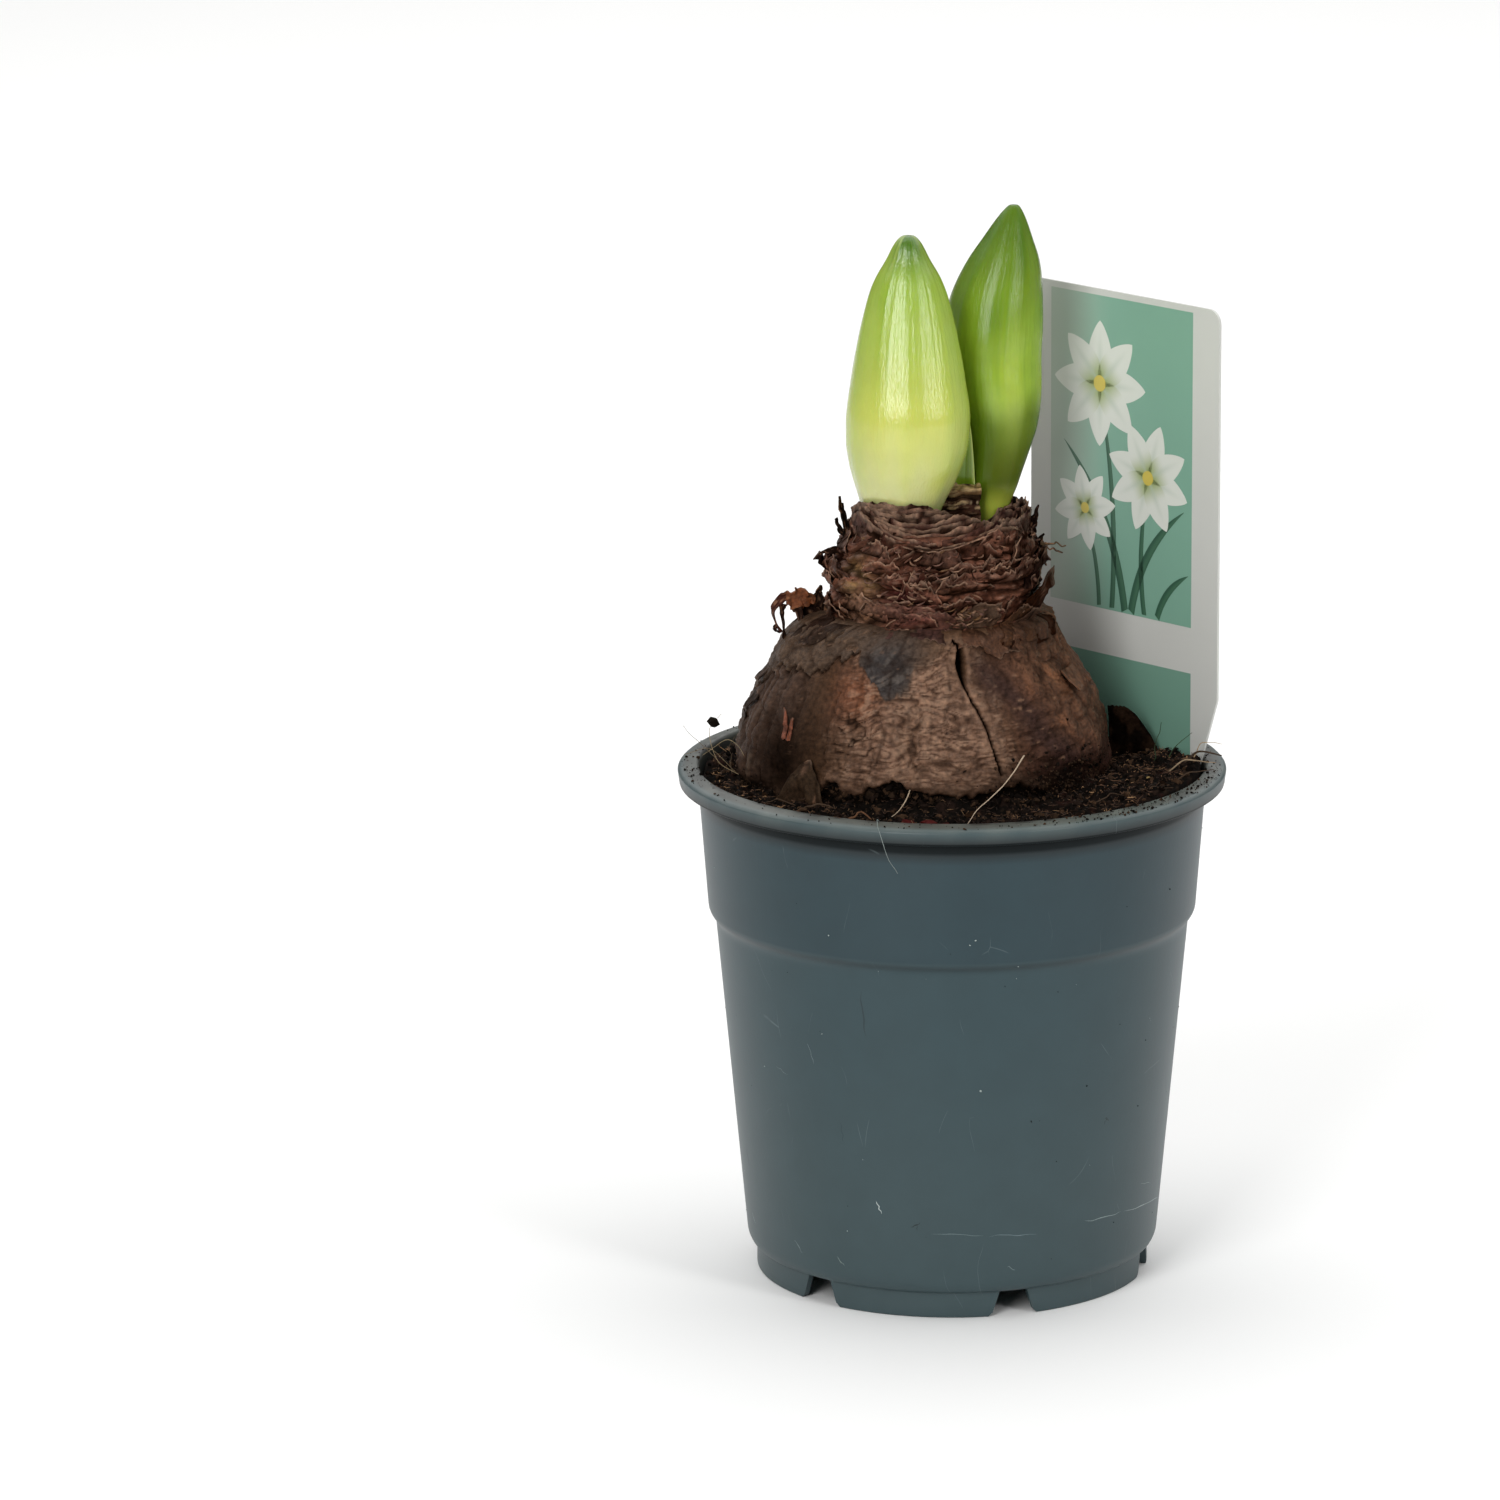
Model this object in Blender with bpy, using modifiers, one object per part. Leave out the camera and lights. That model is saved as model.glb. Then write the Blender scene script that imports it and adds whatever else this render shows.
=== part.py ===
"""A potted amaryllis: a bulb in a grower's pot, with two flower buds, a leaf tip and a plant label.

Metres, +Z up. The origin is on the ground under the middle of the pot, and the front is towards -Y.
Angles round the pot, the bulb and the scales are measured from the front towards +X.
"""

import math
import random

import bmesh
import bpy
import numpy as np
from mathutils import Matrix, Vector, noise

NAME = "potted_amaryllis"

# Pot, a standard 12 cm grower's pot
RIM_RADIUS = 0.0600
RIM_INNER_RADIUS = 0.0553
RIM_HEIGHT = 0.1130
RIM_CROWN = 0.0009
RIM_LIP = 0.0033
RIM_ROUND = 0.0006
RIM_THICKNESS = 0.0014
WALL = 0.0010
COLLAR_TOP_RADIUS = 0.0556
COLLAR_LOW_RADIUS = 0.0535
COLLAR_LOW = 0.0822
SHOULDER_STEP = 0.0017
SHOULDER_DROP = 0.0036
SHOULDER_SHAPE = ((0.0, 0.0), (0.0003, 0.0010), (0.0010, 0.0021), (0.0015, 0.0029))
BODY_LOW_RADIUS = 0.0452
BODY_LOW = 0.0062
FOOT_RADIUS = 0.0432
FOOT_WALL = 0.0014
FLOOR_THICKNESS = 0.0012
FLOOR_CORNER = 0.0016
POT_SIDES = 54
NOTCHES = 6
NOTCH_FIRST = math.radians(18)
NOTCH_TOP_WIDTH = 0.0062
NOTCH_LOW_WIDTH = 0.0094
NOTCH_CORNER = 0.0009
DRAIN_RADIUS = 0.0035
DRAIN_CIRCLE = 0.0270
DRAIN_SIDES = 12

# Clearances between pieces that touch on the real plant
GAP = 0.0003
SOCKET_GAP = 0.0004

# How far a cutter runs past what it cuts
CUT_PAST = 0.0060

# Soil
SOIL_TOP = RIM_HEIGHT - 0.0014
SOIL_LUMP = 0.0011
SOIL_LUMP_SIZE = 0.0065
SOIL_MOUND = 0.0024
MOUND_ANGLE = math.radians(85)
MOUND_SPREAD = math.radians(38)
SOIL_RINGS = (0.0290, 0.0350, 0.0390, 0.0430, 0.0465, 0.0495, 0.0522)
SOIL_SIDES = 48
CHIPS = 22
CHIP_INNER = 0.0445
CHIP_OUTER = 0.0515
CHIP_LIFT = 0.0001
CHIP_FIRST = math.radians(-195)
CHIP_SWEEP = math.radians(275)
CHIP_HALF = (0.0016, 0.0028)
CHIP_RADIUS = (0.0009, 0.0014)

# Bulb: (height above the rim plane, radius) down the outside, then its lean
BULB_SIDES = 54
BULB_FLATTENED = 0.955
NECK_RECESS = 0.0520
BULB_OUTSIDE = (
    (0.0574, 0.0184), (0.0568, 0.0190), (0.0516, 0.0191), (0.0510, 0.0214), (0.0496, 0.0219),
    (0.0480, 0.0215), (0.0458, 0.0228), (0.0440, 0.0219), (0.0418, 0.0227), (0.0400, 0.0217),
    (0.0378, 0.0226), (0.0360, 0.0221), (0.0344, 0.0229), (0.0332, 0.0246), (0.0341, 0.0262),
    (0.0335, 0.0271), (0.0321, 0.0279), (0.0300, 0.0293), (0.0277, 0.0307), (0.0232, 0.0332),
    (0.0187, 0.0360), (0.0142, 0.0380), (0.0097, 0.0398), (0.0045, 0.0407), (-0.0010, 0.0406),
    (-0.0080, 0.0391), (-0.0140, 0.0365), (-0.0210, 0.0315), (-0.0270, 0.0245),
    (-0.0310, 0.0175), (-0.0330, 0.0150), (-0.0358, 0.0144),
)
BULB_INSIDE = ((NECK_RECESS, 0.0), (NECK_RECESS, 0.0100), (NECK_RECESS, 0.0174), (0.0566, 0.0179))
BULB_BASE = -0.0362
SOCKET_TOP = 0.0048
SOCKET_MOUTH = 0.0300
BULB_LEAN = ((-0.0400, -0.0058), (0.0190, -0.0058), (0.0277, -0.0066), (0.0340, -0.0049),
             (0.0380, -0.0037), (0.0455, -0.0038), (0.0540, -0.0027), (0.0600, -0.0024))
BULB_BACK = ((-0.0400, 0.0010), (0.0300, 0.0010), (0.0400, -0.0005), (0.0600, -0.0005))

# The bulb's skin: seams and ribs on its body, crumpled layers on its neck, torn edges between
NECK_LOW = 0.0350
NECK_TOP = 0.0505
CRUMPLE = 0.0024
SKIN_LOW = 0.0020
CREASE = 0.0016
RIBS = 18
RIB_DEPTH = 0.0005
SPLIT_DEPTH = 0.0011
SPLIT_WIDTH = math.radians(3.5)
SPLIT_ANGLES = ((0.0000, math.radians(24)), (0.0190, math.radians(14)), (0.0330, math.radians(12)))
OLD_SKIN_STEP = 0.0009
OLD_SKIN_EDGE = 0.0215
OLD_SKIN_ANGLE = math.radians(-25)
OLD_SKIN_REACH = math.radians(38)
LEDGE = 0.0340
LEDGE_RADIUS = 0.0255
LEDGE_TEAR = 0.0013
LEDGE_LIFT = 0.0004
CREST = 0.0540
CREST_RADIUS = 0.0170
CREST_TEAR = 0.0011
HOLLOW_RADIUS = 0.0182

# Scales: name, middle, radius, angle, half width, foot, height, flare, share left at the tip, skew.
# Lengths in metres, feet above the rim plane, angles in degrees.
NECK_MIDDLE = (-0.0027, -0.0005)
CUFF_MIDDLE = (-0.0036, -0.0003)
BODY_MIDDLE = (-0.0052, 0.0010)
SCALES = (
    ("collar_front", (-0.0110, -0.0045), 0.0101, -14, 80, 0.0505, 0.0112, 0.0004, 0.8, 0),
    ("collar_left", NECK_MIDDLE, 0.0204, -82, 34, 0.0488, 0.0084, 0.0003, 0.75, 0),
    ("collar_right", NECK_MIDDLE, 0.0203, 60, 34, 0.0487, 0.0092, 0.0005, 0.7, 0),
    ("collar_back", NECK_MIDDLE, 0.0203, 178, 58, 0.0486, 0.0090, 0.0004, 0.85, 0),
    ("collar_middle", NECK_MIDDLE, 0.0203, -14, 30, 0.0485, 0.0078, 0.0004, 0.8, 0),
    ("between_buds", (0.0049, 0.0188), 0.0200, 0, 13, 0.0505, 0.0136, 0.0, 0.75, 0),
    ("cuff_left", CUFF_MIDDLE, 0.0214, -88, 22, 0.0410, 0.0062, 0.0044, 0.25, 0),
    ("cuff_front", CUFF_MIDDLE, 0.0214, -12, 38, 0.0410, 0.0064, 0.0024, 0.7, 0),
    ("cuff_right", CUFF_MIDDLE, 0.0212, 82, 30, 0.0405, 0.0085, 0.0026, 0.5, 0),
    ("cuff_back", CUFF_MIDDLE, 0.0210, 165, 44, 0.0402, 0.0078, 0.0030, 0.7, 0),
    ("flap_right", BODY_MIDDLE, 0.0269, 62, 24, 0.0300, 0.0155, 0.0018, 0.15, 20),
    ("flap_back", BODY_MIDDLE, 0.0268, 140, 20, 0.0300, 0.0095, 0.0012, 0.3, -6),
    ("flap_left", BODY_MIDDLE, 0.0269, -66, 14, 0.0300, 0.0072, 0.0014, 0.3, -4),
    ("flap_low_left", (-0.0058, 0.0010), 0.0393, -39, 7, 0.0110, -0.0086, 0.0018, 0.2, 0),
)
SOIL_SCALE = ("soil_scale", (0.0405, 0.0685), 0.0600, 0, 6, -0.0050, 0.0168, 0.0, 0.35, -4)
SCALE_THICKNESS = 0.0009
SCALE_TEAR = 0.0015
SCALE_RUFFLE = 0.0005
SCALE_ROWS = 4
SCALE_STEP = 9

# Dry scraps standing on the bulb, as the points of their lines above the rim plane
STUB = ((-0.0205, -0.0020, 0.0480), (-0.0225, -0.0022, 0.0520), (-0.0238, -0.0022, 0.0560),
        (-0.0247, -0.0022, 0.0600))
STUB_FORK = ((-0.0228, -0.0021, 0.0525), (-0.0248, -0.0022, 0.0540), (-0.0258, -0.0022, 0.0552))
CURL = ((-0.0292, -0.0040, 0.0290), (-0.0322, -0.0048, 0.0315), (-0.0350, -0.0048, 0.0332),
        (-0.0372, -0.0044, 0.0356), (-0.0364, -0.0036, 0.0384), (-0.0334, -0.0032, 0.0392),
        (-0.0318, -0.0034, 0.0374))
SPIKE = ((-0.0262, -0.0030, 0.0310), (-0.0274, -0.0030, 0.0356), (-0.0284, -0.0030, 0.0402))
SCRAP_RADIUS = 0.0016
SCRAP_TIP_RADIUS = 0.0009

# Roots, below the basal plate
ROOTS = 7
ROOT_POINTS = 8
ROOT_START = 0.0070
ROOT_TOP = 0.0330
ROOT_REACH = (0.022, 0.030)
ROOT_FALL = (0.036, 0.055)
ROOT_RADIUS = 0.0017
ROOT_TIP_RADIUS = 0.0009

# Buds: (height above the rim plane, radius), the line of their middles and the stems in the neck
BUD_SIDES = 24
BUD_RIB = 0.00012
BUD_SWELL = 0.0150
STEM_END = 0.0360
STEM_TOP = 0.0510
FRONT_BUD = ((0.1183, 0.0), (0.1181, 0.0011), (0.1172, 0.0023), (0.1128, 0.0048), (0.1085, 0.0072),
             (0.1041, 0.0088), (0.0953, 0.0109), (0.0866, 0.0124), (0.0778, 0.01343),
             (0.0734, 0.0133), (0.0690, 0.0125), (0.0646, 0.0111), (0.0601, 0.0093),
             (0.0566, 0.0082), (STEM_TOP, 0.0076), (STEM_END, 0.0072))
FRONT_BUD_X = ((STEM_END, -0.0110), (0.0560, -0.0110), (0.0646, -0.0102), (0.0734, -0.0096),
               (0.0820, -0.0094), (0.1183, -0.0094))
FRONT_BUD_Y = ((STEM_END, -0.0045), (0.0560, -0.0045), (0.0800, -0.0050), (0.1183, -0.0052))
FRONT_FLATTENED = 0.93
REAR_BUD = ((0.1221, 0.0), (0.1219, 0.0009), (0.1210, 0.0018), (0.1190, 0.0032), (0.1146, 0.0055),
            (0.1103, 0.0076), (0.1059, 0.0091), (0.1000, 0.0103), (0.0930, 0.0108),
            (0.0865, 0.0108), (0.0794, 0.0102), (0.0749, 0.0092), (0.0705, 0.0079),
            (0.0661, 0.0068), (0.0616, 0.0060), (0.0560, 0.0047), (STEM_TOP, 0.0046),
            (STEM_END, 0.0045))
REAR_BUD_X = ((STEM_END, 0.0079), (0.0560, 0.0079), (0.0616, 0.0085), (0.0670, 0.0094),
              (0.0720, 0.0098), (0.0794, 0.0092), (0.0880, 0.0086), (0.1000, 0.0094),
              (0.1103, 0.0113), (0.1221, 0.0134))
REAR_BUD_Y = ((STEM_END, 0.0063), (0.0560, 0.0063), (0.0780, 0.0098), (0.0920, 0.0108),
              (0.1221, 0.0112))
REAR_FLATTENED = 0.95

# Leaf tip between the buds
LEAF_END = 0.0460
LEAF_TIP = 0.0765
LEAF_WIDTH = 0.0045
LEAF_TIP_SHARE = 0.09
LEAF_THICKNESS = 0.0009
LEAF_FOOT = (0.0030, 0.0016)
LEAF_LEAN = (0.0009, -0.0008)
LEAF_HOLLOW = 0.0004
LEAF_ROWS = 9
LEAF_COLUMNS = 4

# Label card, a plane standing across the right of the pot
LABEL_FOOT = Vector((0.0528, 0.0040, RIM_HEIGHT))
LABEL_TURN = math.radians(46)
LABEL_RIGHT = -0.0074
LABEL_LEFT = 0.0504
LABEL_TOP = 0.1010
LABEL_CORNER = 0.0032
LABEL_CORNER_POINTS = 5
LABEL_TAPER = 0.0146
LABEL_POINT = -0.0660
LABEL_POINT_WIDTH = 0.0040
LABEL_THICKNESS = 0.0006


def clear_scene():
    for obj in list(bpy.data.objects):
        bpy.data.objects.remove(obj, do_unlink=True)
    for group in list(bpy.data.collections):
        bpy.data.collections.remove(group)


def new_collection(name):
    group = bpy.data.collections.new(name)
    bpy.context.scene.collection.children.link(group)
    return group


def add_object(name, data, group):
    obj = bpy.data.objects.new(name, data)
    group.objects.link(obj)
    return obj


def paint(obj, colour, roughness):
    """Give a part its own Principled material; colour is linear red, green and blue."""
    material = bpy.data.materials.new(obj.name)
    material.use_nodes = True
    shader = material.node_tree.nodes["Principled BSDF"]
    shader.inputs["Base Color"].default_value = (*colour, 1.0)
    shader.inputs["Roughness"].default_value = roughness
    shader.inputs["Metallic"].default_value = 0.0
    obj.data.materials.clear()
    obj.data.materials.append(material)


def baked(obj):
    """Swap an object for a plain mesh of its evaluated shape, joining a curve's caps to its sides."""
    bpy.context.view_layer.update()
    seen = obj.evaluated_get(bpy.context.evaluated_depsgraph_get())
    mesh = bpy.data.meshes.new_from_object(seen)
    mesh.transform(obj.matrix_world)
    if obj.type == "CURVE":
        weld(mesh)
    solid = add_object(obj.name + "_solid", mesh, obj.users_collection[0])
    name = obj.name
    bpy.data.objects.remove(obj, do_unlink=True)
    solid.name = name
    return solid


def weld(mesh):
    """Join a curve's loose caps to its sides."""
    shape = bmesh.new()
    shape.from_mesh(mesh)
    bmesh.ops.remove_doubles(shape, verts=shape.verts, dist=1e-6)
    shape.to_mesh(mesh)
    shape.free()


def filled(obj):
    """Fill the small hollows that joined scales seal: drop each inner skin, whose volume is negative."""
    shape = bmesh.new()
    shape.from_mesh(obj.data)
    bmesh.ops.triangulate(shape, faces=shape.faces)
    left = set(shape.faces)
    hollows = []
    while left:
        skin, edge = set(), {left.pop()}
        while edge:
            skin |= edge
            edge = {near for face in edge for side in face.edges for near in side.link_faces} & left
            left -= edge
        volume = sum(f.verts[0].co.dot(f.verts[1].co.cross(f.verts[2].co)) for f in skin)
        if volume <= 0:
            hollows += skin
    bmesh.ops.delete(shape, geom=hollows, context="FACES")
    shape.to_mesh(obj.data)
    shape.free()
    return obj


def through(points, places):
    """Read a curve that runs smoothly through (place, value) points, without overshoot."""
    known, values = np.array(sorted(points)).T
    steps = np.diff(known)
    rises = np.diff(values) / steps
    before, after = rises[:-1], rises[1:]
    same_way = before * after > 0
    total = np.where(same_way, before + after, 1.0)
    slopes = np.concatenate(([rises[0]], np.where(same_way, 2 * before * after / total, 0.0), [rises[-1]]))
    places = np.clip(places, known[0], known[-1])
    index = np.clip(np.searchsorted(known, places, side="right") - 1, 0, len(steps) - 1)
    step, along = steps[index], (places - known[index]) / steps[index]
    back = 1 - along
    return (values[index] * (1 + 2 * along) * back**2 + slopes[index] * step * along * back**2
            + values[index + 1] * (3 - 2 * along) * along**2 - slopes[index + 1] * step * back * along**2)


def arc(centre, radius, start, end, points):
    """Points of a circular arc in the plane of radius and height, angles in degrees."""
    angles = [math.radians(start + (end - start) * i / (points - 1)) for i in range(points)]
    return [(centre[0] + radius * math.cos(a), centre[1] + radius * math.sin(a)) for a in angles]


def turned(name, profile, sides, group, ring=False):
    """Turn a profile of (radius, height) points, given down its outer side, round the Z axis."""
    mesh = bpy.data.meshes.new(name)
    count = len(profile)
    edges = [(i, (i + 1) % count) for i in range(count if ring else count - 1)]
    mesh.from_pydata([(radius, 0.0, height) for radius, height in profile], edges, [])
    obj = add_object(name, mesh, group)
    screw = obj.modifiers.new("Turn", "SCREW")
    screw.steps = sides
    screw.render_steps = sides
    screw.use_merge_vertices = True
    screw.merge_threshold = 0.00001
    return baked(obj)


def reshaped(obj, formula):
    """Move all points of a mesh by a formula on their coordinates as three arrays."""
    flat = np.empty(len(obj.data.vertices) * 3)
    obj.data.vertices.foreach_get("co", flat)
    x, y, z = flat.reshape(-1, 3).T
    obj.data.vertices.foreach_set("co", np.stack(formula(x, y, z), axis=1).ravel())
    obj.data.update()
    return obj


def plate(name, outline, thickness, group):
    """Cut a flat outline in X and Y from sheet of a given thickness, its middle at Z = 0."""
    curve = bpy.data.curves.new(name, "CURVE")
    curve.dimensions = "2D"
    curve.fill_mode = "BOTH"
    curve.extrude = thickness / 2
    line = curve.splines.new("POLY")
    line.points.add(len(outline) - 1)
    for point, (x, y) in zip(line.points, outline):
        point.co = (x, y, 0.0, 1.0)
    line.use_cyclic_u = True
    return baked(add_object(name, curve, group))


def rod(name, points, radii, group):
    """Run a four-sided rod through points, tapering through the given radii."""
    curve = bpy.data.curves.new(name, "CURVE")
    curve.dimensions = "3D"
    curve.bevel_depth = 1.0
    curve.bevel_resolution = 0
    curve.use_fill_caps = True
    line = curve.splines.new("POLY")
    line.points.add(len(points) - 1)
    for point, place, radius in zip(line.points, points, radii):
        point.co = (*place, 1.0)
        point.radius = radius
    return baked(add_object(name, curve, group))


def combined(obj, others, operation, solver="EXACT"):
    """Join other solids to one, or cut them out of it, and remove them."""
    group = new_collection("operands")
    for other in others:
        group.objects.link(other)
    boolean = obj.modifiers.new(operation.title(), "BOOLEAN")
    boolean.operation = operation
    boolean.operand_type = "COLLECTION"
    boolean.collection = group
    boolean.solver = solver
    solid = baked(obj)
    for other in others:
        bpy.data.objects.remove(other, do_unlink=True)
    bpy.data.collections.remove(group)
    return solid


def rough(x, y, z, size):
    """Smooth noise from -1 to 1 whose lumps measure about one size."""
    return np.array([noise.noise(Vector((a, b, c)) / size) for a, b, c in zip(x, y, z)])


def inner_wall(clearance=0.0):
    """The pot's inside from floor to rim as (radius, height) points, moved in by a clearance."""
    floor = BODY_LOW + FLOOR_THICKNESS
    step = COLLAR_LOW - SHOULDER_DROP
    points = (
        (BODY_LOW_RADIUS - WALL - FLOOR_CORNER, floor), (BODY_LOW_RADIUS - WALL, floor + FLOOR_CORNER),
        (COLLAR_LOW_RADIUS - SHOULDER_STEP - WALL, step),
        (COLLAR_LOW_RADIUS - SHOULDER_STEP / 2 - WALL, step + SHOULDER_DROP * 0.6),
        (COLLAR_LOW_RADIUS - WALL, COLLAR_LOW + WALL),
        (COLLAR_TOP_RADIUS - WALL, RIM_HEIGHT - RIM_LIP - SHOULDER_STEP),
    )
    return [(radius - clearance, height) for radius, height in points]


def make_pot(group, cutters):
    """Turned pot with a hollow lip, a stepped shoulder and a raised floor, then holes and notches."""
    lip_low = RIM_HEIGHT - RIM_LIP
    lip_roof = RIM_HEIGHT - RIM_THICKNESS
    rim = [(RIM_INNER_RADIUS, RIM_HEIGHT + RIM_CROWN / 2),
           (RIM_INNER_RADIUS + WALL / 2, RIM_HEIGHT + RIM_CROWN),
           ((RIM_INNER_RADIUS + RIM_RADIUS) / 2, RIM_HEIGHT + RIM_CROWN * 0.7)]
    rim += arc((RIM_RADIUS - RIM_ROUND, RIM_HEIGHT - RIM_ROUND), RIM_ROUND, 80, 0, 3)
    rim += [(RIM_RADIUS - RIM_ROUND / 2, lip_low + RIM_ROUND / 2),
            (RIM_RADIUS - RIM_THICKNESS * 0.6, lip_low),
            (RIM_RADIUS - RIM_THICKNESS, lip_low + RIM_ROUND / 2), (RIM_RADIUS - RIM_THICKNESS, lip_roof),
            (COLLAR_TOP_RADIUS + WALL, lip_roof), (COLLAR_TOP_RADIUS, lip_roof - WALL)]
    shoulder = [(COLLAR_LOW_RADIUS - inward, COLLAR_LOW - down) for inward, down in SHOULDER_SHAPE]
    shoulder += [(COLLAR_LOW_RADIUS - SHOULDER_STEP, COLLAR_LOW - SHOULDER_DROP)]
    body_end = [(BODY_LOW_RADIUS, BODY_LOW + FLOOR_CORNER), (BODY_LOW_RADIUS - WALL, BODY_LOW),
                (FOOT_RADIUS, BODY_LOW - WALL / 2)]
    foot_inner = FOOT_RADIUS - FOOT_WALL
    foot = [(FOOT_RADIUS, FOOT_WALL / 4), (FOOT_RADIUS - FOOT_WALL / 4, 0.0), (foot_inner, 0.0),
            (foot_inner, BODY_LOW)]
    middle = [(DRAIN_RADIUS, BODY_LOW), (DRAIN_RADIUS, BODY_LOW + FLOOR_THICKNESS)]
    profile = rim + shoulder + body_end + foot + middle + inner_wall()
    pot = turned("pot", profile, POT_SIDES, group, ring=True)

    top = BODY_LOW - WALL / 2
    half = NOTCH_TOP_WIDTH / 2
    low_half = NOTCH_LOW_WIDTH / 2
    side = [(half, top), (low_half, NOTCH_CORNER), (low_half + NOTCH_CORNER, 0.0),
            (low_half + NOTCH_CORNER, -CUT_PAST)]
    outline = side + [(-x, y) for x, y in reversed(side)]
    openings = []
    for i in range(NOTCHES):
        notch_turn = NOTCH_FIRST + math.tau * i / NOTCHES
        upright = Matrix.Rotation(math.pi / 2, 4, "X")
        out = Matrix.Translation((0.0, -FOOT_RADIUS, 0.0))
        notch = plate("notch", outline, 2 * CUT_PAST, cutters)
        notch.data.transform(Matrix.Rotation(notch_turn, 4, "Z") @ out @ upright)
        hole_turn = notch_turn + math.pi / NOTCHES
        place = Vector((math.sin(hole_turn), -math.cos(hole_turn), 0.0)) * DRAIN_CIRCLE
        tall = BODY_LOW + CUT_PAST
        hole = turned("drain", [(0.0, tall), (DRAIN_RADIUS, tall), (DRAIN_RADIUS, 0.0), (0.0, 0.0)],
                      DRAIN_SIDES, cutters)
        hole.data.transform(Matrix.Translation(place))
        openings += [notch, hole]
    pot = combined(pot, openings, "DIFFERENCE")
    paint(pot, (0.045, 0.075, 0.085), 0.50)
    return pot


def bulb_place(x, y, z):
    """Lean, flatten and crease a bulb that was turned round the Z axis, by its own height."""
    height = z - RIM_HEIGHT
    radius = np.hypot(x, y)
    angle = np.arctan2(x, -y)
    round_x, round_y = np.sin(angle), -np.cos(angle)
    neck = np.clip((height - NECK_LOW) / 0.0030, 0, 1)
    body = np.clip((height - SKIN_LOW) / 0.0060, 0, 1) * (1 - neck)
    crumple = rough(round_x * 4, round_y * 4, height * 300, 1.0)
    ragged = rough(round_x * 9, round_y * 9, height * 0, 1.0)
    seams = rough(round_x * 6, round_y * 6, height * 40, 1.0)
    ribs = np.cos(RIBS * angle + 4 * rough(round_x * 2, round_y * 2, height * 100, 1.0))
    split = np.exp(-(((angle - through(SPLIT_ANGLES, height)) / SPLIT_WIDTH) ** 2)) * (height < LEDGE)
    old_side = np.abs(angle - OLD_SKIN_ANGLE) < OLD_SKIN_REACH
    old_skin = old_side & (height + 0.0080 * ragged > OLD_SKIN_EDGE)
    radius += body * (CREASE * seams + RIB_DEPTH * ribs + OLD_SKIN_STEP * old_skin - SPLIT_DEPTH * split)
    folds = CRUMPLE * neck * crumple * (radius > HOLLOW_RADIUS) * (height < NECK_TOP)
    radius += folds
    crest = np.clip((height - CREST) / 0.0020, 0, 1) * (radius > CREST_RADIUS)
    ledge = np.exp(-(((height - LEDGE) / 0.0010) ** 2)) * (radius > LEDGE_RADIUS)
    height += CREST_TEAR * ragged * crest + (LEDGE_TEAR * ragged + LEDGE_LIFT) * ledge + folds / 3
    flat = np.where(height < 0.0400, BULB_FLATTENED, 1.0)
    x = through(BULB_LEAN, height) + radius * round_x
    y = through(BULB_BACK, height) + radius * flat * round_y
    return x, y, height + RIM_HEIGHT


def sheet(name, points, flipped, thickness, group):
    """A thin solid from a grid of points, thickened evenly to both sides."""
    index = np.arange(points.shape[0] * points.shape[1]).reshape(points.shape[:2])
    corners = [index[:-1, :-1], index[:-1, 1:], index[1:, 1:], index[1:, :-1]]
    faces = np.stack(corners, axis=-1).reshape(-1, 4)
    mesh = bpy.data.meshes.new(name)
    mesh.from_pydata(points.reshape(-1, 3).tolist(), [], (faces[:, ::-1] if flipped else faces).tolist())
    obj = add_object(name, mesh, group)
    solid = obj.modifiers.new("Thickness", "SOLIDIFY")
    solid.thickness = thickness
    solid.offset = 0.0
    return baked(obj)


def scale(name, middle, radius, angle, half_width, foot, height, flare, tip, skew, group):
    """One papery scale: an upright sheet bent round a middle, narrowing to a torn end.

    Across it the angle runs from -half_width to half_width, drawn in to a share, tip, at its end;
    up it the radius grows by flare, and skew carries the end sideways by an angle. A negative
    height hangs it downwards.
    """
    columns = max(4, int(half_width / SCALE_STEP) + 2)
    up, across = np.meshgrid(np.linspace(0, 1, SCALE_ROWS), np.linspace(-1, 1, columns), indexing="ij")
    taper = 1 - (1 - tip) * up**1.6
    turn = np.radians(angle + across * half_width * taper + skew * up**2)
    torn = rough(turn.ravel() * 6.7, up.ravel() * 2.2, np.full(up.size, foot * 220), 1.0).reshape(up.shape)
    reach = radius + flare * up**1.8 + SCALE_RUFFLE * torn
    level = RIM_HEIGHT + foot + height * up + SCALE_TEAR * torn * up**2
    points = np.stack([middle[0] + reach * np.sin(turn), middle[1] - reach * np.cos(turn), level], axis=-1)
    return sheet(name, points, height < 0, SCALE_THICKNESS, group)


def root_lines():
    """Each root as its points: from the basal plate out and down, waving, short of the pot's wall."""
    draw = random.Random(11)
    lines = []
    for i in range(ROOTS):
        turn = math.tau * (i + 0.5) / ROOTS + draw.uniform(-0.2, 0.2)
        reach, fall = draw.uniform(*ROOT_REACH), draw.uniform(*ROOT_FALL)
        line = []
        for along in np.linspace(0, 1, ROOT_POINTS):
            out = ROOT_START + reach * along**0.7
            sway = turn + 0.35 * math.sin(4.2 * along + i)
            x = BULB_LEAN[0][1] * (1 - along) + out * math.sin(sway)
            line.append(Vector((x, -out * math.cos(sway), RIM_HEIGHT - ROOT_TOP - fall * along**1.25)))
        lines.append(line)
    return lines


def roots(clearance, group):
    """All the roots as rods, thicker all round by a clearance, which their channels in soil have."""
    rods = []
    for line in root_lines():
        share = np.linspace(0, 1, len(line))
        radii = ROOT_RADIUS + (ROOT_TIP_RADIUS - ROOT_RADIUS) * share + clearance
        end = line[-1] + (line[-1] - line[-2]).normalized() * clearance
        rods.append(rod("root", line[:-1] + [end], radii, group))
    return rods


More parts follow.
